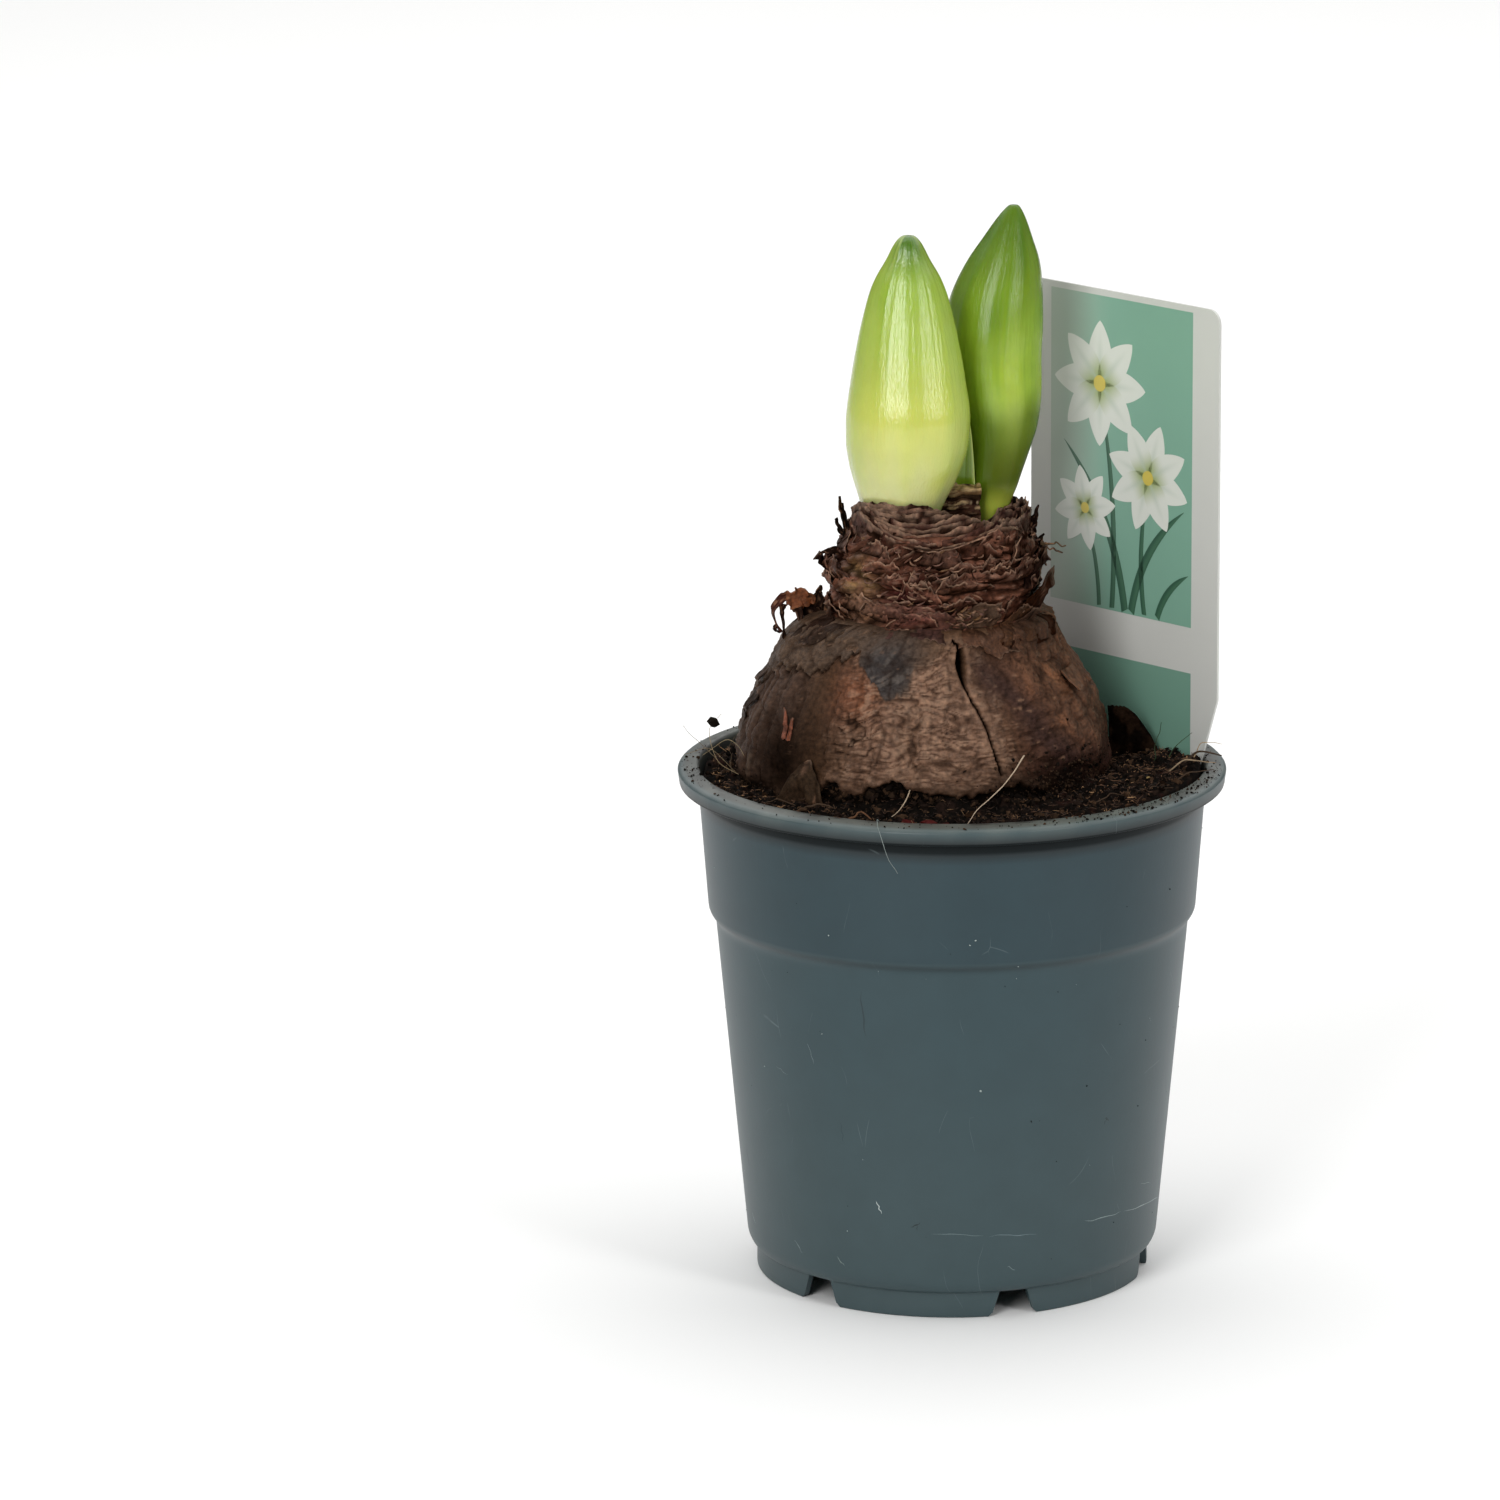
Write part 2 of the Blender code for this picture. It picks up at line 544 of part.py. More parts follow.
def bud(name, outline, middle_x, middle_y, flattened, group):
    """Turned bud with fine ribs, flattened front to back, its middle moved along a line."""
    profile = [(radius, height) for height, radius in outline] + [(0.0, STEM_END)]
    obj = turned(name, profile, BUD_SIDES, group)

    def place(x, y, z):
        swell = np.clip((z - STEM_TOP) / BUD_SWELL, 0, 1)
        side = np.round(np.arctan2(x, -y) / math.tau * BUD_SIDES)
        rib = np.where(side % 2 == 0, BUD_RIB, -BUD_RIB) * swell
        grown = 1 + np.where(np.hypot(x, y) > 2 * BUD_RIB, rib / np.maximum(np.hypot(x, y), BUD_RIB), 0.0)
        flat = 1 - (1 - flattened) * swell
        return (through(middle_x, z) + x * grown, through(middle_y, z) + y * grown * flat, z + RIM_HEIGHT)

    return reshaped(obj, place)


def stem_hole(outline, middle_x, middle_y, group):
    """A plain hole in the neck, wider than a stem by the gap and a little deeper."""
    radius = outline[-2][1] + SOCKET_GAP
    low_radius = outline[-1][1] + SOCKET_GAP
    top, low = outline[0][0], STEM_END - SOCKET_GAP
    profile = [(0.0, top), (radius, top), (radius, STEM_TOP), (low_radius, low), (0.0, low)]
    hole = turned("stem_hole", profile, BUD_SIDES, group)
    hole.data.transform(Matrix.Translation((middle_x[0][1], middle_y[0][1], RIM_HEIGHT)))
    return hole


def box(name, low, high, group):
    """A plain box between two corners."""
    outline = [(low[0], low[1]), (high[0], low[1]), (high[0], high[1]), (low[0], high[1])]
    obj = plate(name, outline, high[2] - low[2], group)
    obj.data.transform(Matrix.Translation((0.0, 0.0, (low[2] + high[2]) / 2)))
    return obj


def bulb_scales(group):
    """The torn ends of the old scales, flaps of loose skin and dry scraps, each sunk in the bulb."""
    pieces = [scale(*values, group) for values in SCALES]
    for line in (STUB, STUB_FORK, CURL, SPIKE):
        lifted = [Vector(point) + Vector((0.0, 0.0, RIM_HEIGHT)) for point in line]
        pieces.append(rod("scrap", lifted, np.linspace(SCRAP_RADIUS, SCRAP_TIP_RADIUS, len(line)), group))
    return pieces


def make_bulb(group, cutters):
    """Turned bulb, leant and creased, with its scales and roots joined and the stems' holes cut."""
    levels = BULB_INSIDE + BULB_OUTSIDE + ((BULB_BASE, 0.0),)
    profile = [(radius, height + RIM_HEIGHT) for height, radius in levels]
    bulb = reshaped(turned("bulb", profile, BULB_SIDES, group), bulb_place)
    bulb = filled(combined(bulb, bulb_scales(cutters) + roots(0.0, cutters), "UNION", "MANIFOLD"))
    wide = LEAF_WIDTH / 2 + SOCKET_GAP
    deep = LEAF_THICKNESS / 2 + SOCKET_GAP
    slot_low = (LEAF_FOOT[0] - wide, LEAF_FOOT[1] - LEAF_HOLLOW - deep, RIM_HEIGHT + LEAF_END - SOCKET_GAP)
    slot_high = (LEAF_FOOT[0] + wide, LEAF_FOOT[1] + deep, RIM_HEIGHT + LEAF_TIP)
    holes = [stem_hole(FRONT_BUD, FRONT_BUD_X, FRONT_BUD_Y, cutters),
             stem_hole(REAR_BUD, REAR_BUD_X, REAR_BUD_Y, cutters),
             box("leaf_slot", slot_low, slot_high, cutters)]
    bulb = combined(bulb, holes, "DIFFERENCE", "MANIFOLD")
    paint(bulb, (0.105, 0.048, 0.026), 0.75)
    return bulb


def socket(group):
    """The bulb's own lower shape, larger by the gap, open upwards: what the soil leaves free."""
    buried = [(radius + SOCKET_GAP, height) for height, radius in BULB_OUTSIDE if height < SOCKET_TOP]
    low = BULB_BASE - SOCKET_GAP
    profile = [(0.0, SOCKET_MOUTH), (buried[0][0], SOCKET_MOUTH)] + buried[:-1]
    profile += [(buried[-1][0], low), (0.0, low)]
    lifted = [(radius, height + RIM_HEIGHT) for radius, height in profile]
    solid = turned("socket", lifted, BULB_SIDES, group)

    def place(x, y, z):
        new_x, new_y, _ = bulb_place(x, y, np.minimum(z, RIM_HEIGHT + SOCKET_TOP))
        return new_x, new_y, z

    return reshaped(solid, place)


def label_outline(more):
    """The card's outline in its own plane, larger all round by a clearance: rounded top, long point."""
    right, left, top = LABEL_RIGHT - more, LABEL_LEFT + more, LABEL_TOP + more
    middle = (right + left) / 2
    corner = LABEL_CORNER
    outline = [(middle - LABEL_POINT_WIDTH / 2 - more, LABEL_POINT - more),
               (middle + LABEL_POINT_WIDTH / 2 + more, LABEL_POINT - more), (left, LABEL_TAPER)]
    outline += arc((left - corner, top - corner), corner, 0, 90, LABEL_CORNER_POINTS)
    outline += arc((right + corner, top - corner), corner, 90, 180, LABEL_CORNER_POINTS)
    return outline + [(right, LABEL_TAPER)]


def label_plate(name, more, group):
    """The card standing in the soil; its outline's first axis runs left and back from the rim."""
    card = plate(name, label_outline(more), LABEL_THICKNESS + 2 * more, group)
    along = Vector((-math.cos(LABEL_TURN), math.sin(LABEL_TURN), 0.0))
    up = Vector((0.0, 0.0, 1.0))
    turn = Matrix((along, up, along.cross(up))).transposed().to_4x4()
    card.data.transform(Matrix.Translation(LABEL_FOOT) @ turn)
    return card


def make_label(group):
    label = label_plate("label", 0.0, group)
    paint(label, (0.50, 0.60, 0.55), 0.35)
    return label


def soil_rise(x, y):
    """How far the soil stands over its mean level: lumps, and a mound where it meets the card."""
    angle = np.arctan2(x, -y)
    outward = np.clip(np.hypot(x, y) / SOIL_RINGS[4], 0, 1)
    mound = np.exp(-(((angle - MOUND_ANGLE) / MOUND_SPREAD) ** 2)) * outward
    level = np.zeros_like(x)
    lumps = rough(x, y, level, SOIL_LUMP_SIZE) + rough(x, y, level, SOIL_LUMP_SIZE / 2) / 2
    return SOIL_LUMP * lumps + SOIL_MOUND * mound


def soil_place(x, y, z):
    """Raise the turned soil's top points and leave its sides and floor."""
    return x, y, z + np.where(z > SOIL_TOP - GAP, soil_rise(x, y), 0.0)


def chips(group):
    """Bark chips and coarse fibres sunk in the top of the soil, clear of the bulb and the card."""
    draw = random.Random(5)
    pieces = []
    for i in range(CHIPS):
        angle = CHIP_FIRST + CHIP_SWEEP * (i + draw.uniform(0.1, 0.9)) / CHIPS
        out = Vector((math.sin(angle), -math.cos(angle)))
        bulb_edge = (Vector((BULB_LEAN[0][1], BULB_BACK[0][1])) + out * CHIP_INNER).length
        x, y = out * draw.uniform(min(bulb_edge, CHIP_OUTER), CHIP_OUTER)
        rise = float(soil_rise(np.array([x]), np.array([y]))[0])
        place = Vector((x, y, SOIL_TOP + rise + CHIP_LIFT))
        cramped = CHIP_OUTER - bulb_edge < 2 * CHIP_HALF[1]
        turn = angle + draw.uniform(-1, 1) * (0.2 if cramped else 1.2)
        along = Vector((math.cos(turn), math.sin(turn), draw.uniform(-0.15, 0.15)))
        along *= draw.uniform(*CHIP_HALF)
        thick = draw.uniform(*CHIP_RADIUS)
        radii = [thick * 0.6, thick, thick * 0.5]
        pieces.append(rod("chip", [place - along, place, place + along], radii, group))
    return pieces


def make_soil(group, cutters):
    """Peat filling the pot to the rim, with the bulb's socket, root channels and the card's slot cut."""
    wall = inner_wall(GAP)
    floor = wall[0][1] + SOCKET_GAP
    rings = [(radius, SOIL_TOP) for radius in (0.0, *SOIL_RINGS, COLLAR_TOP_RADIUS - WALL - GAP)]
    rings += list(reversed(wall[2:]))
    rings += [(wall[1][0], floor + FLOOR_CORNER), (wall[0][0], floor), (0.0, floor)]
    soil = reshaped(turned("soil", rings, SOIL_SIDES, group), soil_place)
    soil = combined(soil, chips(cutters) + [scale(*SOIL_SCALE, cutters)], "UNION", "MANIFOLD")
    hollows = [socket(cutters), label_plate("slot", GAP, cutters)] + roots(SOCKET_GAP, cutters)
    soil = combined(soil, hollows, "DIFFERENCE", "MANIFOLD")
    paint(soil, (0.018, 0.011, 0.008), 0.95)
    return soil


def make_buds(group):
    front = bud("bud_front", FRONT_BUD, FRONT_BUD_X, FRONT_BUD_Y, FRONT_FLATTENED, group)
    rear = bud("bud_rear", REAR_BUD, REAR_BUD_X, REAR_BUD_Y, REAR_FLATTENED, group)
    paint(front, (0.46, 0.52, 0.12), 0.35)
    paint(rear, (0.22, 0.36, 0.03), 0.35)
    return [front, rear]


def make_leaf(group):
    """A short pointed blade, hollow towards the front, leaning forward between the buds."""
    up, across = np.meshgrid(np.linspace(0, 1, LEAF_ROWS), np.linspace(-1, 1, LEAF_COLUMNS), indexing="ij")
    half = LEAF_WIDTH / 2 * (LEAF_TIP_SHARE + (1 - LEAF_TIP_SHARE) * (1 - up**2) ** 0.75)
    x = LEAF_FOOT[0] + LEAF_LEAN[0] * up**2 + half * across
    y = LEAF_FOOT[1] + LEAF_LEAN[1] * up**2 - LEAF_HOLLOW * across**2 * (1 - up)
    z = RIM_HEIGHT + LEAF_END + (LEAF_TIP - LEAF_END) * up
    leaf = sheet("leaf", np.stack([x, y, z], axis=-1), False, LEAF_THICKNESS, group)
    paint(leaf, (0.20, 0.42, 0.03), 0.40)
    return leaf


def main():
    clear_scene()
    parts = new_collection(NAME)
    cutters = new_collection("cutters")
    make_pot(parts, cutters)
    make_soil(parts, cutters)
    make_bulb(parts, cutters)
    make_buds(parts)
    make_leaf(parts)
    make_label(parts)


main()
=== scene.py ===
"""The looks of a potted amaryllis, built round its CAD solids.

Shapes are worked out in millimetres and become metres when their mesh is made. Heights count from the
plane of the pot's rim, and angles go round from the front, which is -Y, towards +X.
"""

import math

import bmesh
import bpy
import numpy as np
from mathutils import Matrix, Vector


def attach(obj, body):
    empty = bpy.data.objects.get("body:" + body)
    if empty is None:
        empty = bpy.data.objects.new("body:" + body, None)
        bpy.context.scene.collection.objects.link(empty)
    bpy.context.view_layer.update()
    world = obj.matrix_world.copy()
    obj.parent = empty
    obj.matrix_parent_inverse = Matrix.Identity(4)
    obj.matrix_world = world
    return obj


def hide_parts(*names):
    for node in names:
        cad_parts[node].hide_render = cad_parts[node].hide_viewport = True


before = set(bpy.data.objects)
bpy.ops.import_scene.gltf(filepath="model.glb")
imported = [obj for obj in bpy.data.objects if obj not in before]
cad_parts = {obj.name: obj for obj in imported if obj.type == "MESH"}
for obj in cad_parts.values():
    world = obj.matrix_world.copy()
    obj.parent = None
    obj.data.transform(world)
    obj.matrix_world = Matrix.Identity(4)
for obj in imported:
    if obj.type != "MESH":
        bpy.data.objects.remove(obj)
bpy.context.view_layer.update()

RIM = 113.0

# Pot: (radius, height over the ground, rounding) round its cut profile, from the middle drain hole
# out along the underside, up the outside, over the rim and down the inside
POT_PROFILE = (
    (3.5, 6.2, 0.3), (41.8, 6.2, 0.3), (41.8, 0, 0.25), (43.2, 0, 0.45), (43.2, 5.7, 0.3),
    (44.3, 6.1, 0.5), (45.2, 7.8, 1), (51.8, 78.8, 0.9), (52.2, 80, 0.7), (53.4, 81.6, 0.9),
    (55.6, 110.5, 0.6), (56.3, 111.6, 0.4), (58.7, 111.6, 0.2), (58.7, 109.8, 0.2), (59.6, 109.7, 0.35),
    (60, 112.6, 0.2), (59.4, 113.2, 0.35), (57.4, 113.7, 0.8), (55.8, 113.9, 0.35), (55.2, 113.2, 0.5),
    (54.6, 108, 0.8), (52.5, 83.2, 0.8), (50.8, 78.6, 0.8), (44.2, 9, 1.2), (42.6, 7.4, 0.3),
    (3.5, 7.4, 0.3),
)
FOOT_TOP = 6.0
SHOULDER = 81.0
COLLAR_FOOT = 82.0
RIM_UNDERSIDE = (109.0, 110.4)
POT_SIDES = 240
POT_STEP_OUTSIDE = 3.0
POT_STEP_INSIDE = 9.0
POT_INSIDE = 54.3
FOOT_RADIUS = 43.2
FOOT_INNER = 41.8
NOTCHES = 6
NOTCH_FIRST = math.radians(18)
NOTCH_SIDES = (0, 3.1, 4.7, 5.6)
NOTCH_HEIGHTS = (5.7, 5.7, 0.9, 0)
DRAIN_RADIUS = 3.5
DRAIN_CIRCLE = 27.0
DRAINS = 6
DRAIN_SIDES = 24
WALL_RADIUS = 48.0
# Specks: on the wall, and on the rim at the right, all round and at the left
DUST_ON_WALL = 90
DUST_ON_RIM = (420, 160, 80)

# Bulb: (height, radius) of its body and neck, and the line of its middle
BODY_OUTSIDE = (
    (-35.8, 14.4), (-33, 15), (-31, 17.5), (-27, 24.5), (-21, 31.5), (-14, 36.5), (-8, 39.1),
    (-1, 40.6), (4.5, 40.7), (9.7, 39.8), (14.2, 38), (18.7, 36), (23.2, 33.2), (27.7, 30.7),
    (30, 29.3), (32.1, 27.9), (33.5, 27.1), (34.3, 25.8), (35.2, 23),
)
NECK_OUTSIDE = (
    (30, 21.6), (33.2, 22.4), (34.4, 22.6), (36, 22.1), (37.8, 22.4), (40, 21.7), (41.8, 22.5),
    (44, 22), (45.8, 22.6), (48, 21.4), (49.6, 21.4), (51.2, 20.4), (53, 19.1), (55, 18.8),
    (57.4, 18.6), (60, 18.4),
)
BULB_LEAN = (
    (-40, -5.8), (19, -5.8), (27.7, -6.6), (34, -4.9), (38, -3.7), (45.5, -3.8), (54, -2.7),
    (60, -2.4),
)
BULB_BACK = ((-40, 1), (30, 1), (40, -0.5), (60, -0.5))
BULB_FLATTENED = 0.955
BODY_TOP = 35.2
BODY_RADIUS = 38.0
SHOULDER_RADIUS = 26.0
SKIN_SLANT = 19.0
BODY_ROWS = 156
BODY_COLUMNS = 440
# Specks of peat stuck to the skin: in the heap at the right, round its foot and under its lifted foot
DUST_ON_SKIN = (800, 500, 500)
NECK_CREST = 55.0
NECK_FLOOR = 52.6
NECK_ROWS = 100
NECK_COLUMNS = 336
NECK_RADIUS = 21.0
NECK_SCALES = 84
ROOTS = 7

# Top edges of the torn sheets by their angle: the outermost, the front stem's and the rear stem's
OUTER_EDGE = (
    (-180, 57), (-120, 57.5), (-85, 58), (-68, 60.4), (-58, 60), (-48, 57.6), (-36, 55.2),
    (-22, 53.4), (-6, 52.6), (8, 53.2), (22, 54.8), (40, 56.8), (60, 57.3), (100, 57.2),
    (140, 57.6), (180, 57),
)
FRONT_EDGE = ((-180, 57), (-100, 59), (-60, 60.9), (-20, 61.6), (0, 60.9), (30, 60.8), (60, 60.6),
              (80, 58), (180, 54))
REAR_EDGE = ((-180, 56), (-60, 53.2), (-20, 54.4), (0, 55.8), (25, 57.2), (60, 57.6), (100, 58),
             (180, 57))

# Lines on the skin, as (angle in degrees, height): the outer skin's torn edge, the long split, a dark
# band, the seams and the torn foot
SKIN_EDGE = (
    (-180, 20), (-150, 14), (-120, 21), (-94, 15.9), (-66, 25.1), (-42.4, 25.5),
    (-41, 26.1), (-39.6, 27.8), (-38.6, 28.8), (-33.6, 29.3), (-29.6, 30), (-26.8, 30.1),
    (-20.1, 26.5), (-16.5, 23.7), (-12.5, 21), (-8, 22), (-5.1, 24), (-3, 27.4), (4.6, 28.8),
    (11.3, 32.7), (20, 35), (110, 35), (125, 24), (150, 27), (180, 20),
)
SPLIT = (
    (10.6, 33.4), (13.4, 32.8), (14.9, 31.6), (16.1, 28.6), (15.8, 26.2), (16.1, 23.8), (17.2, 21.3),
    (19.4, 17.8), (20.6, 15.7), (21.5, 12.6), (22.5, 9.5), (23.9, 6.3),
)
SHADE_BAND = ((21, 27.5), (31, 24.1), (36.3, 20.2), (40.1, 14.4), (48.2, 8.8))
SEAMS = (
    ((-0.4, 19.2), (-3.7, 16.2), (-4.2, 12.2), (-3.2, 8.1)),
    ((-31, 22.5), (-33, 18), (-32, 12), (-33, 7)),
    ((-16, 19.5), (-13.6, 16), (-14.4, 12), (-16, 8.6)),
    ((8, 20), (6.4, 15), (8.6, 8)),
)
SKIN_FOOT = (
    (-60, -3), (-42, -1.5), (-36, 1.6), (-30, 3.8), (-21.8, 1.8), (-14.6, 4), (-7.7, 5),
    (-2.3, 3), (3, 2), (9.9, 1.2), (16.8, 1.6), (23.9, 3.4), (29, 3.8), (36, 1.8), (45, -3),
)

# Stems as (x, y, radius), and the buds: (height, radius) down their outline, and their middle's line
FRONT_STEM = (-11, -4.5, 7.6)
REAR_STEM = (7.9, 6.3, 4.6)
FRONT_BUD = (
    (118.3, 0), (118.2, 1.1), (117.3, 2.3), (112.8, 4.8), (108.5, 7.2), (104.1, 8.8), (95.3, 10.9),
    (86.6, 12.4), (77.8, 13.43), (73.4, 13.3), (69, 12.5), (64.6, 11.1), (60.1, 9.3), (56.6, 8.2),
    (51, 7.6), (36, 7.2), (36, 0),
)
FRONT_BUD_X = ((36, -11), (56, -11), (64.6, -10.2), (73.4, -9.6), (82, -9.4), (118.3, -9.4))
FRONT_BUD_Y = ((36, -4.5), (56, -4.5), (80, -5), (118.3, -5.2))
REAR_BUD = (
    (122.1, 0), (122, 0.9), (121, 1.9), (119, 3.2), (114.6, 5.5), (110.3, 7.6), (105.9, 9.1),
    (100, 10.3), (93, 10.8), (86.5, 10.8), (79.4, 10.2), (74.9, 9.2), (70.5, 7.9), (66.1, 6.8),
    (61.6, 6), (56, 4.7), (51, 4.6), (36, 4.5), (36, 0),
)
REAR_BUD_X = (
    (36, 7.9), (56, 7.9), (61.6, 8.5), (67, 9.4), (72, 9.8), (79.4, 9.2), (88, 8.6), (100, 9.4),
    (110.3, 11.3), (122.1, 13.4),
)
REAR_BUD_Y = ((36, 6.3), (56, 6.3), (78, 9.8), (92, 10.8), (122.1, 11.2))

# Leaf tip
LEAF_END = 46.0
LEAF_TIP = 76.5
LEAF_WIDTH = 5.6
LEAF_FOOT = (2.5, 1.6)

# Label card: its own axes run left and back along the card, and up
LABEL_FOOT = (52.8, 4)
LABEL_TURN = math.radians(46)
LABEL_RIGHT = -7.4
LABEL_LEFT = 50.4
LABEL_TOP = 101.0
LABEL_CORNER = 3.2
LABEL_TAPER = 14.6
LABEL_POINT = -66.0
LABEL_POINT_WIDTH = 4.0
LABEL_THICKNESS = 0.6

# Soil
SOIL_TOP = -1.4
SOIL_FLOOR = 8.0 - RIM
SOIL_SIDES = 500
BED_RADIUS = 39.4
BANK_RADIUS = 40.0
CLEAR_RADIUS = 40.2
SOIL_RINGS = 84
# Clods to grains: how wide and how high
PEAT_LUMPS = ((6.5, 0.8), (3, 0.5), (1.3, 0.35), (0.7, 0.28), (0.4, 0.15))
CRUMBS = 2600
BARK_CHIPS = 150
SPLINTERS = 2200
LONG_FIBRES = 90

# Studio: each area light's name, place, target, width, height (m) and power (W), and the photo's camera
LIGHTS = (
    ("overhead", (0, 1.25, 1), (0, 1.25, 0), 2.6, 3, 36),
    ("key", (-0.44, -0.98, 0.63), (0, 0, 0.17), 0.44, 0.95, 9.6),
    ("fill", (0.80, -0.76, 0.59), (0, 0, 0.17), 0.24, 0.90, 5),
    ("left_edge", (-1.3, 0.35, 0.6), (0, 0, 0.1), 0.5, 1.1, 0.72),
    ("right_edge", (1.3, 0.35, 0.6), (0, 0, 0.1), 0.5, 1.1, 0.78),
)
ROOM_LIGHT = 0.12
CAMERA_PLACE = (0, -1.739, 0.5434)
CAMERA_DOWN = math.radians(13.87)
CAMERA_LENS = 196.6
CAMERA_SHIFT = ((750 - 952) / 1500, (760 - 750) / 1500)

CARD_ALONG = np.array([-math.cos(LABEL_TURN), math.sin(LABEL_TURN), 0.0])
CARD_FACE = np.array([-math.sin(LABEL_TURN), -math.cos(LABEL_TURN), 0.0])


def tone(code):
    """A colour written as sRGB hex, as linear red, green and blue."""
    parts = np.array([int(code[i:i + 2], 16) / 255 for i in (1, 3, 5)])
    return np.where(parts <= 0.04045, parts / 12.92, ((parts + 0.055) / 1.055) ** 2.4)


def toned(colours, *layers):
    """Colours blended towards one more colour after another: each its code, then its share from 0 to 1."""
    for code, share in zip(layers[::2], layers[1::2]):
        share = np.clip(share, 0, 1)[..., None]
        colours = colours * (1 - share) + tone(code) * share
    return colours


def plain(code, places):
    """One colour for every place of an array."""
    return np.broadcast_to(tone(code), np.shape(places) + (3,)).copy()


def tones(*codes):
    """Several such colours, one to a row."""
    return np.array([tone(code) for code in codes])


def step(low, high, values):
    """0 up to low, 1 from high on, and an S-shaped ease between. With low over high it falls instead."""
    share = np.clip((values - low) / (high - low), 0, 1)
    return share * share * (3 - 2 * share)


def bell(values, middle, width):
    """1 at the middle, falling away on both sides as a bell curve of that half width."""
    return np.exp(-(((values - middle) / width) ** 2))


def lattice(seed, places):
    """A fixed random number from -1 to 1 for each whole-number place: a hash of its coordinates."""
    mixed = np.full(places[0].shape, seed * 7919 + 13, dtype=np.uint64)
    for place in places:
        mixed = (mixed ^ place.astype(np.int64).astype(np.uint64)) * np.uint64(0x9E3779B97F4A7C15)
        mixed ^= mixed >> np.uint64(29)
        mixed *= np.uint64(0xBF58476D1CE4E5B9)
        mixed ^= mixed >> np.uint64(32)
    return (mixed >> np.uint64(11)).astype(float) / 2.0**52 - 1.0


def noise(seed, *places):
    """Fixed random numbers on whole-number places in one to three axes, joined by S-shaped eases."""
    places = np.broadcast_arrays(*places)
    low = [np.floor(place) for place in places]
    ease = [step(0, 1, place - floor) for place, floor in zip(places, low)]
    total = 0.0
    for corner in np.ndindex((2,) * len(places)):
        weight = 1.0
        for side, share in zip(corner, ease):
            weight = weight * (share if side else 1 - share)
        total = total + weight * lattice(seed, [floor + side for floor, side in zip(low, corner)])
    return total


def layered(seed, octaves, *places):
    """Noise added to itself at twice the fineness and half the height, over and over."""
    return sum(noise(seed + k, *[place * 2**k for place in places]) / 2**k for k in range(octaves))


def veins(seed, width, *places):
    """1 on the winding lines where noise crosses zero, falling to 0 at a width away from them."""
    return 1 - step(0, width, np.abs(noise(seed, *places)))


def folds(seed, *places):
    """Rounded folds between sharp creases: 0 in the creases, where noise crosses zero, up to 1 between."""
    return np.minimum(1, np.abs(noise(seed, *places)) * 1.8)


def through(points, places):
    """Read a curve that runs smoothly through (place, value) points, without overshoot."""
    known, values = np.array(sorted(points), dtype=float).T
    steps = np.diff(known)
    rises = np.diff(values) / steps
    before, after = rises[:-1], rises[1:]
    same_way = before * after > 0
    total = np.where(same_way, before + after, 1.0)
    slopes = np.concatenate(([rises[0]], np.where(same_way, 2 * before * after / total, 0.0), [rises[-1]]))
    places = np.clip(places, known[0], known[-1])
    index = np.clip(np.searchsorted(known, places, side="right") - 1, 0, len(steps) - 1)
    gap, along = steps[index], (places - known[index]) / steps[index]
    back = 1 - along
    return (values[index] * (1 + 2 * along) * back**2 + slopes[index] * gap * along * back**2
            + values[index + 1] * (3 - 2 * along) * along**2 - slopes[index + 1] * gap * back * along**2)


def broken(line, places):
    """Read a broken line of (place, value) points."""
    return np.interp(places, *np.array(line).T)


def near_path(path, across, up):
    """Distance of places to a broken line of points, and how far along it they are, from 0 to 1."""
    path = np.array(path, dtype=float)
    best = np.full(np.shape(across), 1e9)
    share = np.zeros(np.shape(across))
    for i, (start, end) in enumerate(zip(path[:-1], path[1:])):
        run = end - start
        along = ((across - start[0]) * run[0] + (up - start[1]) * run[1]) / (run @ run)
        along = np.clip(along, 0, 1)
        away = np.hypot(across - start[0] - along * run[0], up - start[1] - along * run[1])
        closer = away < best
        best = np.where(closer, away, best)
        share = np.where(closer, (i + along) / (len(path) - 1), share)
    return best, share


def rounded(corners, steps=5):
    """A closed broken line of (radius, height, rounding) corners with each corner eased by a parabola."""
    corners = np.array(corners, dtype=float)
    places, size = corners[:, :2], corners[:, 2:]
    toward = np.roll(places, -1, axis=0) - places
    length = np.linalg.norm(toward, axis=1, keepdims=True)
    back_way, back_length = -np.roll(toward, 1, axis=0), np.roll(length, 1, axis=0)
    leave = places + toward / length * np.minimum(size, 0.45 * length)
    enter = places + back_way / back_length * np.minimum(size, 0.45 * back_length)
    share = np.linspace(0, 1, steps)[:, None, None]
    curve = enter * (1 - share) ** 2 + 2 * places * share * (1 - share) + leave * share**2
    return curve.transpose(1, 0, 2).reshape(-1, 2)


def joined(x, y, z):
    """Points from their three coordinates, each spread over the rows and columns of the others."""
    return np.stack(np.broadcast_arrays(x, y, z), axis=-1)


def turned(radius, turn, height, middle=(0.0, 0.0)):
    """Points round an upright axis: at a radius, an angle from the front towards +X, and a height."""
    return joined(middle[0] + radius * np.sin(turn), middle[1] - radius * np.cos(turn), height)


def unit(vectors):
    """Vectors of the same directions and of length 1."""
    return vectors / np.maximum(np.linalg.norm(vectors, axis=-1, keepdims=True), 1e-9)


def far_along(points):
    """How far along a broken line each of its points lies."""
    return np.concatenate([[0], np.cumsum(np.linalg.norm(np.diff(points, axis=0), axis=1))])


def all_round(count):
    """Even angles all round, as one row, from the back by the left and the front."""
    return (np.arange(count) / count * math.tau - math.pi)[None]


def pole(row):
    """A row whose points all lie in the middle of another row: it closes a grid's end."""
    return np.broadcast_to(row.mean(axis=0), row.shape)[None]


